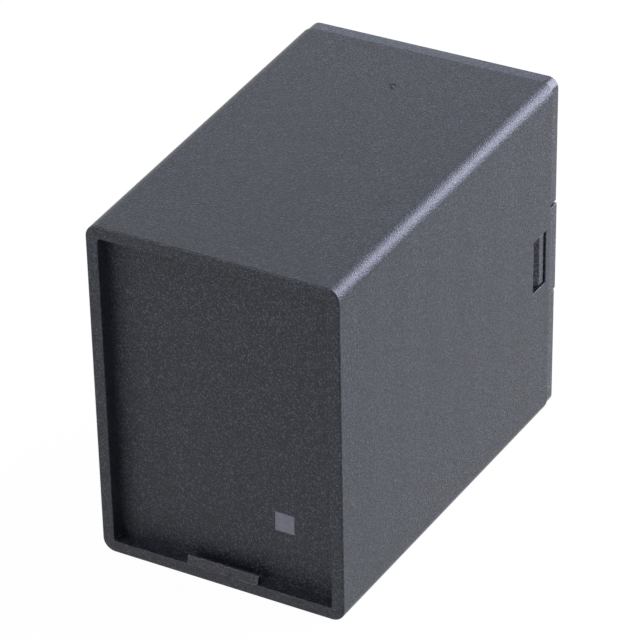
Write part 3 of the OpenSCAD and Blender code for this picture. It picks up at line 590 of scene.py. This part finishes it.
# Moulded navy polyester with a half-matt skin
RELAY_PLASTIC = Finish(
    "moulded_blue_polyester", "relay_plastic", "#1c2a4a", roughness=0.45, grain=0.4,
    relief=0.006, mottle_and_painted_light="#22335a", mottle_size=3.0)
# The relay's moulded case: a brighter blue with a finer skin
RELAY_CASE = Finish(
    "moulded_blue_case", "relay_case", "#30488a", roughness=0.38, grain=0.35, relief=0.006,
    mottle_and_painted_light="#374f92", mottle_size=5.0)
# Moulded ivory nylon, dull and slightly cloudy
BOBBIN = Finish(
    "moulded_ivory_nylon", "bobbin_plastic", "#ece6d6", roughness=0.5, grain=0.4, relief=0.005,
    mottle_and_painted_light="#e2dbc8", mottle_size=3.0)
# Enamelled copper: warm bright ridges, with painted shade in the grooves between them
COPPER = Winding(
    "wound_copper_wire", "copper_winding", "#b8642c", roughness=0.3, metallic=1.0, grain=0.157,
    relief=0.05, mottle_and_painted_light="#5b2a12")
# Annealed soft iron with a dull zinc plate
SOFT_IRON = Finish(
    "zinc_plated_iron", "soft_iron", "#a4a7ab", roughness=0.36, metallic=1.0, grain=0.5,
    relief=0.006, mottle_and_painted_light="#8d9094", mottle_size=2.0)
# Rolled phosphor bronze strip: warm and bright
BRONZE = Finish(
    "rolled_bronze", "spring_bronze", "#c08a4a", roughness=0.28, metallic=1.0, grain=0.4,
    relief=0.002, mottle_and_painted_light="#ab773c", mottle_size=2.0)
# Silver alloy, slightly tarnished
SILVER = Finish(
    "tarnished_silver", "silver_contact", "#d8d8d8", roughness=0.25, metallic=1.0, grain=0.3,
    relief=0.003, mottle_and_painted_light="#bdbcb8", mottle_size=0.8)
# Stamped brass strip: yellow and bright
BRASS = Finish(
    "stamped_brass", "contact_brass", "#c9a25e", roughness=0.3, metallic=1.0, grain=0.4,
    relief=0.003, mottle_and_painted_light="#b58f4e", mottle_size=2.0)


# Sub-assemblies


def board_box() -> np.ndarray:
    """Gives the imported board's lowest and highest corners, in millimetres."""
    return np.array(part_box("circuit_board")) / MM


def beside_board(gap: float, thickness: float) -> list[tuple[float, float]]:
    """Finds the places of two ribs or clamps that hold the board between them.

    Args:
        gap: Their gap from the board's faces.
        thickness: Their thickness.

    Returns:
        The left and the right face of each, across.
    """
    low, high = board_box()
    return [(low[0] - gap - thickness, low[0] - gap), (high[0] + gap, high[0] + gap + thickness)]


@dataclass
class Housing:
    """The moulded housing, drafted towards its front, with a recessed front wall."""

    half_x: float = 22.55
    half_z: float = 30.55
    rear: float = -3.7
    front: float = -72.5
    draft: float = 1.0
    wall: float = 2.1
    edge: float = 2.15
    inner_edge: float = 1.0
    rear_edge: float = 0.25
    # The rim and the recess inside it
    rim_edge: float = 0.3
    rim_inner_edge: float = 0.15
    recess: float = 2.54
    recess_corner: float = 0.5
    recess_fillet: float = 0.02
    panel: float = 2.0
    # The light window in the front wall
    window: float = 3.45
    window_corner: float = 0.12
    window_edge: float = 0.04
    window_centre: tuple[float, float] = (10.0, -16.1)
    # The latch windows in the sides, and the bridge of wall behind each
    latch_bridge: float = 1.7
    latch_length: float = 4.3
    latch_half: float = 4.8
    latch_rear: float = rear - latch_bridge
    latch_front: float = latch_rear - latch_length
    # The gate mark on the top: a dimple with a nub in its middle, in a square patch
    gate_y: float = -15.4
    gate_patch: float = 1.3
    gate_margin: float = 1.1
    gate_radius: float = 0.9
    gate_slope: float = 0.3
    gate_depth: float = 0.1
    dimple_floor: float = 0.5
    nub_radius: float = 0.38
    nub_slope: float = 0.26
    nub_height: float = 0.25
    nub_tip: float = 0.06
    # The snap tab on the lower rim
    tab_half: float = 6.35
    tab_rise: float = 1.25
    tab_ramp: float = 0.7
    tab_crest: float = 0.4
    tab_foot: float = 0.02
    # The guide ribs for the board
    rib_gap: float = 0.15
    rib_thickness: float = 1.2
    rib_lap: float = 1.2
    rib_setback: float = 10.0
    rib_sink: float = 1.575
    # Steps round the edges, and the gate mark's points on a quarter turn and rings
    arc_steps: int = 10
    edge_steps: int = 5
    rim_steps: int = 4
    fillet_steps: int = 6
    window_steps: int = 3
    gate_quarter: int = 6
    dimple_rings: int = 9
    nub_rings: int = 10

    @property
    def corner_points(self) -> int:
        """Points on one rounded corner of a ring."""
        return self.arc_steps + 1

    @property
    def quarter_points(self) -> int:
        """Points on a rounded corner, with the two on the side that follows it."""
        return self.corner_points + 2

    @property
    def floor(self) -> float:
        """Depth of the recess's floor, which is the front wall's outer face."""
        return self.front + self.recess

    def narrowing(self, y: float | np.ndarray) -> float | np.ndarray:
        """How far the draft has narrowed the housing at a depth."""
        return math.tan(math.radians(self.draft)) * (self.rear - y)

    def inside(self, half: float, y: float) -> float:
        """Half the room between the walls at a depth, from half the width or height."""
        return half - self.narrowing(y) - self.wall

    def ring(self, row: np.ndarray) -> Points:
        """Gives one outline across the depth: four round corners and two points on each side.

        A corner's points are (c + r cos a, c + r sin a) about its centre, for a quarter turn. The
        points on the sides are where the latch windows and the gate's patch begin and end.

        Args:
            row: Half width, half height, corner radius, depth, centre across, centre up, and the
                places of the points on the upright sides and on the level sides.

        Returns:
            The outline's points, from the right side's top end round over the top.
        """
        half_x, half_z, radius, y, centre_x, centre_z, line_z, line_x = row
        side_x, side_z = np.array([1, -1, -1, 1]), np.array([1, 1, -1, -1])
        angle = np.arange(4)[:, None] * np.pi / 2 + arc(0, 90, self.arc_steps)
        x = side_x[:, None] * (half_x - radius) + radius * np.cos(angle)
        z = side_z[:, None] * (half_z - radius) + radius * np.sin(angle)
        level = [(line_x, -line_x), (-half_x, -half_x), (-line_x, line_x), (half_x, half_x)]
        upright = [(half_z, half_z), (line_z, -line_z), (-half_z, -half_z), (-line_z, line_z)]
        x = np.concatenate([x, level], axis=1).reshape(-1) + centre_x
        z = np.concatenate([z, upright], axis=1).reshape(-1) + centre_z
        return np.stack([x, np.full_like(x, y), z], axis=-1)

    def walls(self, y: float | np.ndarray, inset: float | np.ndarray,
              radius: float | np.ndarray) -> np.ndarray:
        """Gives the rows for rings that keep a distance from the drafted sides.

        Args:
            y: Depths.
            inset: How far inside the sides.
            radius: Corner radii.

        Returns:
            The rows for ring().
        """
        narrow = self.narrowing(y) + inset
        return as_rows(self.half_x - narrow, self.half_z - narrow, radius, y, 0, 0,
                       self.latch_half, self.gate_patch)

    def outside_rows(self) -> np.ndarray:
        """Lists the rings over the round rear edge, along the outside and over the rim's edge.

        At an angle a, a round edge of size e is e (1 - sin a) inside and e (1 - cos a) from its
        end.

        Returns:
            The rows for ring().
        """
        rise, fall = arc(0, 90, self.edge_steps), arc(90, 0, self.rim_steps)
        inset = self.rear_edge * (1 - np.sin(rise))
        rear = self.walls(self.rear - self.rear_edge * (1 - np.cos(rise)), inset,
                          self.edge - inset)
        places = np.array([self.latch_rear, self.latch_front, self.gate_y + self.gate_patch,
                           self.gate_y - self.gate_patch])
        along = self.walls(places, 0.0, self.edge)
        inset = self.rim_edge * (1 - np.sin(fall))
        rim = self.walls(self.front + self.rim_edge * (1 - np.cos(fall)), inset,
                         self.edge - inset)
        return np.concatenate([rear, along, rim])

    def recess_rows(self) -> np.ndarray:
        """Lists the rings over the rim's inner edge and down the drafted recess to its floor.

        The edge and the fillet at the floor are round, as in outside_rows().

        Returns:
            The rows for ring().
        """
        rise, curve = arc(0, 90, self.edge_steps), arc(0, 90, self.fillet_steps)
        lip = self.rim_inner_edge * (1 - np.sin(rise))
        edge = self.walls(self.front, self.wall - lip, self.recess_corner + lip)
        edge[:, DEPTH_COLUMN] += self.rim_inner_edge * (1 - np.cos(rise))
        depth = self.floor - self.recess_fillet * (1 - np.sin(curve))
        inset = self.recess_fillet * (1 - np.cos(curve))
        taper = math.tan(math.radians(self.draft)) * (depth - self.front)
        recess = self.walls(self.front, self.wall + taper + inset, self.recess_corner)
        recess[:, DEPTH_COLUMN] = depth
        return np.concatenate([edge, recess])

    def window_rows(self) -> np.ndarray:
        """Lists the rings through the light window, whose two edges are slightly round.

        Returns:
            The rows for ring().
        """
        half = self.window / 2
        turn = arc(0, 90, self.window_steps)
        wider = self.window_edge * (1 - np.sin(turn))
        nearer = self.window_edge * (1 - np.cos(turn))
        wider = np.concatenate([wider, wider[::-1]])
        depth = np.concatenate([self.floor + nearer, self.floor + self.panel - nearer[::-1]])
        return as_rows(half + wider, half + wider, self.window_corner + wider, depth,
                       *self.window_centre, half / 2, half / 2)

    def rows(self) -> np.ndarray:
        """Lists the shell's rings, along the outside, into the recess, and back along the inside.

        Returns:
            The rows for ring().
        """
        places = np.array([self.floor + self.panel, self.latch_front, self.latch_rear, self.rear])
        inside = self.walls(places, self.wall, self.inner_edge)
        return np.concatenate([self.outside_rows(), self.recess_rows(), self.window_rows(),
                               inside])

    def shell(self) -> Shell:
        """Makes the walls as one closed surface, with open latch windows and the gate's mark.

        The rings are joined one to the next, and the last to the first. At a latch window one quad
        of the outer and one of the inner surface are left out and their edges are joined.

        Returns:
            Points and faces.
        """
        rows = self.rows()
        points = np.stack([self.ring(row) for row in rows]).reshape(-1, 3)
        quads = grid_quads(len(rows), 4 * self.quarter_points, closed_rows=True)
        # The columns of the quads along the middle of each side
        top, left, _, right = (k * self.quarter_points + self.corner_points for k in range(4))
        # The rings at the latch windows' ends and at the gate, by the order of the rows
        outside, gate, inside = self.edge_steps + 1, self.edge_steps + 3, len(rows) - 3
        keep = np.ones(quads.shape[:2], bool)
        keep[gate, top] = False
        bridges = []
        for column in (left, right):
            keep[[outside, inside], column] = False
            outer = quads[outside, column]
            # The inner surface runs the other way, so its corners are put in the outer one's order
            inner = quads[inside, column][[1, 0, 3, 2]]
            corners = [outer, np.roll(outer, -1), np.roll(inner, -1), inner]
            bridges.append(np.stack(corners, axis=-1))
        patch_points, patch = self.gate_mark(points, quads[gate, top])
        points = np.concatenate([points, patch_points])
        faces = [quads[keep], *bridges, *patch]
        return points, outward(points, faces)

    def gate_mark(self, points: Points, corners: np.ndarray) -> Shell:
        """Fills one quad with a flat surround, the gate's round dimple and the nub in its middle.

        The height falls into the dimple and rises onto the nub as smooth steps of the radius.

        Args:
            points: The shell's points so far.
            corners: The numbers of the quad's corners.

        Returns:
            The new points, and the faces by number.
        """
        quarter, square = self.gate_quarter, points[corners]
        centre = square.mean(axis=0)
        across, along = square[0] - centre, square[1] - centre
        across, along = across / np.linalg.norm(across), along / np.linalg.norm(along)
        inner = np.cross(across, along)
        inner *= -np.sign(inner[2])
        count = 4 * quarter
        angle = np.arange(count) * 2 * np.pi / count
        radius = np.concatenate([
            np.linspace(self.gate_margin * self.gate_radius, self.dimple_floor, self.dimple_rings),
            np.linspace(self.nub_radius, self.nub_tip, self.nub_rings)])
        fall = (self.gate_depth * smooth_step((self.gate_radius - radius) / self.gate_slope)
                - self.nub_height * smooth_step((self.nub_radius - radius) / self.nub_slope))
        round_way = np.cos(angle)[:, None] * across + np.sin(angle)[:, None] * along
        rings = centre + radius[:, None, None] * round_way + fall[:, None, None] * inner
        start = len(points)
        first = start + np.arange(count + 1) % count
        surround = np.array([[corners[k], corners[(k + 1) % 4],
                              *first[k * quarter:(k + 1) * quarter + 1][::-1]] for k in range(4)])
        walls = grid_quads(len(radius), count)[:, :, [0, 3, 2, 1]].reshape(-1, 4) + start
        last = start + (len(radius) - 1) * count + np.arange(count)
        middle = np.full(count, start + len(radius) * count)
        fan = np.stack([last, np.roll(last, -1), middle], axis=-1)
        top = centre + (self.gate_depth - self.nub_height) * inner
        return np.concatenate([rings.reshape(-1, 3), top[None]]), [surround, walls, fan]

    def snap_tab(self) -> Shell:
        """Makes the snap tab: a sloping front, a flat crest and an upright back.

        Returns:
            Points and faces.
        """
        low = -self.inside(self.half_z, self.front)
        crest = self.front + self.tab_ramp
        back = crest + self.tab_crest
        root = low - self.wall / 2
        foot = (self.front + self.tab_foot, low - self.rim_inner_edge)
        outline = [(self.front + self.rim_edge, root), foot,
                   (crest, low + self.tab_rise), (back, low + self.tab_rise), (back, root)]
        return carried(outline, -self.tab_half, self.tab_half, Axis.ACROSS)

    def build(self) -> None:
        """Makes the housing, with its guide ribs sunk into the upper and lower walls."""
        piece = Piece("housing_shell", bevel=0.15)
        piece.add(self.shell())
        piece.add(self.snap_tab())
        board_top = board_box()[1][2]
        for left, right in beside_board(self.rib_gap, self.rib_thickness):
            rib = block((left, self.floor + self.panel - OVERLAP, board_top - self.rib_lap),
                        (right, self.rear - self.rib_setback, self.half_z - self.rib_sink))
            piece.add(rib)
            piece.add(mirrored(*rib, Axis.UP))
        piece.make(HOUSING_ABS, ["housing"])


@dataclass
class LightPipe:
    """The frosted pipe in the square window, with a head behind the front wall."""

    centre: tuple[float, float] = Housing.window_centre
    gap: float = 0.03
    head_over: float = 0.8
    head_length: float = 1.2
    half: float = Housing.window / 2 - gap
    head_half: float = Housing.window / 2 + head_over
    face: float = Housing.front + Housing.recess
    seat: float = face + Housing.panel

    def build(self) -> None:
        """Makes the light pipe."""
        piece = Piece("light_pipe_lens", bevel=0.06)
        for half, start, end in ((self.half, self.face, self.seat + OVERLAP),
                                 (self.head_half, self.seat, self.seat + self.head_length)):
            low = (self.centre[0] - half, start, self.centre[1] - half)
            high = (self.centre[0] + half, end, self.centre[1] + half)
            piece.add(block(low, high))
        piece.make(PIPE_ACRYLIC, ["light_pipe"])


@dataclass
class PlugBase:
    """The moulding that closes the rear: flange, latches, skirts, clamps, seat and key post."""

    housing: Housing = field(default_factory=Housing)
    # The flange, a little inside the housing's sides
    inset: float = 0.35
    inset_up: float = 0.1
    thickness: float = 2.5
    half_x: float = Housing.half_x - inset
    half_z: float = Housing.half_z - inset_up
    edge: float = Housing.edge - inset
    front: float = Housing.rear
    rear: float = front + thickness
    # The release pads and the slits that free them
    pad_half: float = 7.95
    pad_proud: float = 0.15
    slit: float = 0.4
    slit_depth: float = 4.0
    slit_inner: float = half_x - slit_depth
    # The round seat
    seat_radius: float = 16.0
    seat_chamfer: float = 0.3
    # The key post, hollow from the front, and its key
    post_radius: float = 3.95
    post_length: float = 14.0
    post_chamfer: float = 1.0
    post_bore: float = 2.4
    post_end: float = 1.8
    post_proud: float = 0.01
    key_half: float = 1.0
    key_reach: float = 4.95
    key_length: float = 11.0
    # The gap between the housing's walls and the arms and skirts
    fit: float = 0.15
    # The latch arms and their hooks
    arm_thickness: float = 1.4
    arm_beyond: float = 0.4
    arm_front: float = Housing.latch_front - arm_beyond
    arm_half: float = 7.0
    hook_under: float = 0.2
    hook_lead_in: float = 0.2
    hook_gap: float = 0.3
    hook_length: float = 1.6
    hook_start: float = Housing.latch_front + hook_lead_in
    hook_rear: float = Housing.latch_rear - hook_gap
    hook_face: float = hook_rear - hook_length
    hook_half: float = Housing.latch_half - hook_gap
    # The locating skirts
    skirt_length: float = 10.0
    skirt_height: float = 5.0
    skirt_thickness: float = 1.6
    # The board clamps
    clamp_gap: float = 0.05
    clamp_thickness: float = 1.6
    clamp_length: float = 8.0
    clamp_height: float = 5.0
    # Steps round a corner of the flange, the seat and the post
    corner_steps: int = 8
    seat_steps: int = 128
    post_steps: int = 64

    def flange_outline(self) -> np.ndarray:
        """Gives the flange's outline, with the release pads freed by slits on both sides.

        A corner's points are (c + r cos a, c + r sin a) about its centre, for a quarter turn.

        Returns:
            Points across and up.
        """
        angle = arc(0, 90, self.corner_steps)
        corner = np.stack([self.half_x - self.edge + self.edge * np.cos(angle),
                           self.half_z - self.edge + self.edge * np.sin(angle)], axis=-1)
        slit_top = self.pad_half + self.slit
        notch = np.array([(self.half_x + self.pad_proud, self.pad_half),
                          (self.slit_inner, self.pad_half), (self.slit_inner, slit_top),
                          (self.half_x, slit_top)])
        quarter = np.concatenate([notch, corner])
        left = quarter[::-1] * (-1, 1)
        return np.concatenate([quarter, left, -quarter, -left])

    def seat_and_post(self) -> list[Shell]:
        """Makes the round seat, the key post and the key.

        Returns:
            Points and faces of each.
        """
        start, end = self.rear - OVERLAP, self.front - self.post_proud
        seat = turned([(0, start), (self.seat_radius, start),
                       (self.seat_radius, -self.seat_chamfer),
                       (self.seat_radius - self.seat_chamfer, 0), (0, 0)], self.seat_steps)
        floor, tip = self.post_length - self.post_end, self.post_radius - self.post_chamfer
        post = turned([(0, floor), (self.post_bore, floor), (self.post_bore, end),
                       (self.post_radius, end),
                       (self.post_radius, self.post_length - self.post_chamfer),
                       (tip, self.post_length), (0, self.post_length)], self.post_steps)
        key = block((-self.key_half, -OVERLAP, -self.key_reach),
                    (self.key_half, self.key_length, -self.post_radius / 2))
        return [seat, post, key]

    def latch_arm(self) -> list[Shell]:
        """Makes the arm and its hook on the right side.

        Returns:
            Points and faces of each.
        """
        housing = self.housing
        out = housing.inside(housing.half_x, self.arm_front) - self.fit
        arm = block((out - self.arm_thickness, self.arm_front, -self.arm_half),
                    (out, self.front + OVERLAP, self.arm_half))
        root = out - self.arm_thickness / 2
        tip = housing.half_x - housing.narrowing(housing.latch_front) - self.hook_under
        hook = carried([(root, self.hook_start), (out, self.hook_start), (tip, self.hook_face),
                        (tip, self.hook_rear), (root, self.hook_rear)],
                       -self.hook_half, self.hook_half, Axis.UP)
        return [arm, hook]

    def skirt(self) -> Shell:
        """Makes the upper right skirt.

        Returns:
            Points and faces.
        """
        housing, tip = self.housing, self.front - self.skirt_height
        out = housing.inside(housing.half_x, tip) - self.fit
        top = housing.inside(housing.half_z, tip) - housing.inner_edge
        return block((out - self.skirt_thickness, tip, top - self.skirt_length),
                     (out, self.front + OVERLAP, top))

    def build(self) -> None:
        """Makes the base."""
        piece = Piece("plug_base", bevel=0.1)
        piece.add(carried(self.flange_outline(), self.front, self.rear, Axis.DEPTH))
        for shell in self.seat_and_post():
            piece.add(shell)
        for shell in self.latch_arm():
            piece.add_both_sides(shell)
        skirt = self.skirt()
        piece.add_both_sides(skirt)
        piece.add_both_sides(mirrored(*skirt, Axis.UP))
        top = board_box()[1][2] - self.clamp_length / 2
        for left, right in beside_board(self.clamp_gap, self.clamp_thickness):
            clamp = block((left, self.front - self.clamp_height, top - self.clamp_length),
                          (right, self.front + OVERLAP, top))
            piece.add(clamp)
            piece.add(mirrored(*clamp, Axis.UP))
        piece.make(BASE_ABS, ["base"])


@dataclass
class PlugPins:
    """The octal plug's eight pins, each with a round tip, a collar and a solder cup."""

    circle: float = 17.45
    count: int = 8
    radius: float = 1.18
    shank_radius: float = 1.38
    length: float = 11.1
    collar: float = 0.6
    collar_radius: float = 1.9
    flange_front: float = PlugBase.front
    collar_front: float = flange_front - collar
    cup_radius: float = 0.75
    cup_floor: float = -0.9
    tip_angle: float = 84.0
    tip_steps: int = 9
    round_steps: int = 40

    def build(self) -> None:
        """Makes the pins. The first is half a step past the key, which points down.

        The round tip's points are (r cos a, l - r + r sin a), from its side nearly to its middle.
        """
        tip = [(self.radius * math.cos(a), self.length - self.radius + self.radius * math.sin(a))
               for a in arc(0, self.tip_angle, self.tip_steps)]
        profile = [(0, self.cup_floor), (self.cup_radius, self.cup_floor),
                   (self.cup_radius, self.collar_front), (self.collar_radius, self.collar_front),
                   (self.collar_radius, self.flange_front), (self.shank_radius, self.flange_front),
                   (self.shank_radius, 0), (self.radius, 0), *tip, (0, self.length)]
        step = 2 * math.pi / self.count
        piece = Piece("plug_pins", bevel=0.05)
        for number in range(self.count):
            turn = -math.pi / 2 - step * (number + 0.5)
            centre = (self.circle / 2 * math.cos(turn), self.circle / 2 * math.sin(turn))
            piece.add(turned(profile, self.round_steps, centre))
        piece.make(PLATED_PIN, [f"pin_{number + 1}" for number in range(self.count)])


@dataclass
class Internals:
    """The board, its parts and the output relay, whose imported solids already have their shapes."""

    finishes: tuple[tuple[Finish, list[str]], ...] = (
        (LAMINATE, ["circuit_board"]),
        (LAMP_EPOXY, ["status_lamp"]),
        (CERAMIC, [f"dropping_resistor_{number}" for number in range(1, 4)]),
        (ABSORBER_EPOXY, [f"surge_absorber_{number}" for number in range(1, 4)]),
        (SLEEVE, ["filter_capacitor"]),
        (BLACK_EPOXY, ["controller_chip", "voltage_regulator", "coil_driver", "rectifier_diodes"]),
        (LACQUER, ["signal_resistors"]),
        (TINNED_WIRE, ["chip_legs", "part_wires", "coil_pins"]),
        (TINNED_WIRE, [f"lead_{number}" for number in range(1, 9)]),
        (RELAY_PLASTIC, ["relay_base"]),
        (RELAY_CASE, ["relay_case"]),
        (BOBBIN, ["coil_bobbin"]),
        (COPPER, ["coil_winding"]),
        (SOFT_IRON, ["relay_core", "relay_yoke", "armature"]),
        (BRONZE, ["contact_blade", "return_spring"]),
        (SILVER, ["moving_contact"]),
        (BRASS, ["resting_contact", "working_contact"]),
    )

    def dress(self, nodes: dict[str, bpy.types.Object]) -> None:
        """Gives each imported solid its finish.

        Args:
            nodes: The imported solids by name.
        """
        for finish, names in self.finishes:
            for name in names:
                for holder in nodes[name].material_slots:
                    holder.material = finish.material()
            log.info("%s: dressed as %s", ", ".join(names), finish.name)


# Studio


@dataclass
class Lamp:
    """A soft box that looks at the middle of the object.

    Args:
        name: Its name.
        direction: The way from the object to the lamp.
        distance: Its distance in metres.
        size: Its side in metres.
        power: Its power in watts.
        colour: Its sRGB colour.
    """

    name: str
    direction: tuple[float, float, float]
    distance: float
    size: float
    power: float
    colour: str

    def hang(self, target: Vector) -> None:
        """Hangs the lamp.

        Args:
            target: The point that it looks at.
        """
        light = bpy.data.lights.new(self.name, "AREA")
        light.size = self.size
        light.energy = self.power
        light.color = linear(self.colour)[:3]
        lamp = bpy.data.objects.new(self.name, light)
        way = Vector(self.direction).normalized()
        lamp.location = target + way * self.distance
        lamp.rotation_euler = way.to_track_quat("Z", "Y").to_euler()
        bpy.context.scene.collection.objects.link(lamp)


@dataclass
class Studio:
    """A white floor and surround, five soft boxes and the camera at the photograph's place."""

    # The camera, with its turns in degrees, and the nearest and farthest that it sees in metres
    camera_place: tuple[float, float, float] = (226.063, -444.350, 286.801)
    camera_turn: tuple[float, float, float] = (58.302, 0.927, 28.633)
    lens: float = 196.147
    sensor: float = 36.0
    clip: tuple[float, float] = (0.01, 20.0)
    # The surround's strength as a light
    fill: float = 0.33
    # The floor's gap under the housing, slope in degrees, half its side in metres, and the share
    # of its own white where the camera and reflections see it
    floor_gap: float = 0.02
    floor_slope: float = Housing.draft
    floor_half: float = 3.0
    floor_glow: float = 0.97
    lamps: tuple[Lamp, ...] = (
        Lamp("rear right soft box", direction=(0.56, 0.74, 0.38), distance=0.9, size=0.8,
             power=24.5, colour="#e2e4ff"),
        Lamp("front left soft box", direction=(-0.41, -0.88, 0.2), distance=0.9, size=0.35,
             power=2.2, colour="#f6e4ee"),
        Lamp("front top soft box", direction=(-0.42, -0.5, 0.74), distance=0.9, size=0.3,
             power=4.5, colour="#f0e6f8"),
        Lamp("right soft box", direction=(0.95, 0.25, 0.2), distance=0.9, size=0.6,
             power=2.4, colour="#c0d4ff"),
        Lamp("rear left soft box", direction=(-0.39, 0.79, 0.47), distance=1.0, size=0.35,
             power=0.45, colour="#c8dcff"),
    )

    def lay_floor(self) -> None:
        """Lays a white floor along the housing's drafted lower face.

        The camera and reflections see mostly its own white, and the rest takes the shadow.
        """
        tilt = math.tan(math.radians(self.floor_slope))
        x = np.array([-1, 1, 1, -1]) * self.floor_half
        y = np.array([-1, -1, 1, 1]) * self.floor_half
        z = -(Housing.half_z + self.floor_gap) * MM - tilt * (y - Housing.rear * MM)
        mesh = bpy.data.meshes.new("floor")
        mesh.from_pydata(np.stack([x, y, z], axis=-1), [], [(0, 1, 2, 3)])
        material = bpy.data.materials.new("white floor")
        material.use_nodes = True
        tree = material.node_tree
        tree.nodes.clear()
        paint = add_node(tree, "ShaderNodeBsdfDiffuse", {"Color": linear(WHITE)})
        glow = add_node(tree, "ShaderNodeEmission", {"Color": linear(WHITE), "Strength": 1.0})
        seen = self.seen_rays(tree)
        share = add_node(tree, "ShaderNodeMath", {0: seen, 1: self.floor_glow},
                         operation="MULTIPLY")
        mixed = add_node(tree, "ShaderNodeMixShader", {
            0: share.outputs[0], 1: paint.outputs[0], 2: glow.outputs[0]})
        add_node(tree, "ShaderNodeOutputMaterial", {"Surface": mixed.outputs[0]})
        mesh.materials.append(material)
        floor = bpy.data.objects.new("floor", mesh)
        bpy.context.scene.collection.objects.link(floor)
        floor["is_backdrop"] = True

    @staticmethod
    def seen_rays(tree: Tree) -> Socket:
        """Tells the rays that see the surround: camera, glossy and transmission rays.

        Args:
            tree: The node tree.

        Returns:
            A socket that is 1 for these rays and 0 for the others.
        """
        path = add_node(tree, "ShaderNodeLightPath")
        two = add_node(tree, "ShaderNodeMath", {
            0: path.outputs["Is Camera Ray"], 1: path.outputs["Is Glossy Ray"]}, operation="ADD")
        three = add_node(tree, "ShaderNodeMath", {
            0: two.outputs[0], 1: path.outputs["Is Transmission Ray"]}, operation="ADD",
            use_clamp=True)
        return three.outputs[0]

    def light_surround(self) -> None:
        """Makes the surround white where it is seen, and dimmer as a light."""
        world = bpy.data.worlds.new("studio")
        world.use_nodes = True
        tree = world.node_tree
        tree.nodes.clear()
        white = linear(WHITE)
        seen = add_node(tree, "ShaderNodeBackground", {"Color": white, "Strength": 1.0})
        light = add_node(tree, "ShaderNodeBackground", {"Color": white, "Strength": self.fill})
        mixed = add_node(tree, "ShaderNodeMixShader", {
            0: self.seen_rays(tree), 1: light.outputs[0], 2: seen.outputs[0]})
        add_node(tree, "ShaderNodeOutputWorld", {"Surface": mixed.outputs[0]})
        bpy.context.scene.world = world

    def place_camera(self) -> None:
        """Puts the camera where the photograph was taken from."""
        data = bpy.data.cameras.new("camera")
        data.lens = self.lens
        data.sensor_width = self.sensor
        data.clip_start, data.clip_end = self.clip
        camera = bpy.data.objects.new("camera", data)
        camera.location = Vector(self.camera_place) * MM
        camera.rotation_euler = Euler([math.radians(turn) for turn in self.camera_turn])
        bpy.context.scene.collection.objects.link(camera)
        bpy.context.scene.camera = camera

    def build(self, target: Vector) -> None:
        """Builds the studio.

        Args:
            target: The middle of the object.
        """
        self.lay_floor()
        self.light_surround()
        for lamp in self.lamps:
            lamp.hang(target)
        self.place_camera()
        bpy.context.scene.view_settings.view_transform = "Standard"


def main() -> None:
    """Builds every piece in order, then the studio."""
    logging.basicConfig(level=logging.INFO, format="%(name)s: %(message)s")
    for thing in list(bpy.data.objects):
        bpy.data.objects.remove(thing)
    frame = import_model()
    packed = [list(corner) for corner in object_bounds()]
    Housing().build()
    LightPipe().build()
    PlugBase().build()
    PlugPins().build()
    Internals().dress(frame["nodes"])
    low, high = (Vector(corner) for corner in packed)
    Studio().build((low + high) / 2)
    bpy.context.view_layer.update()


if __name__ == "__main__":
    main()
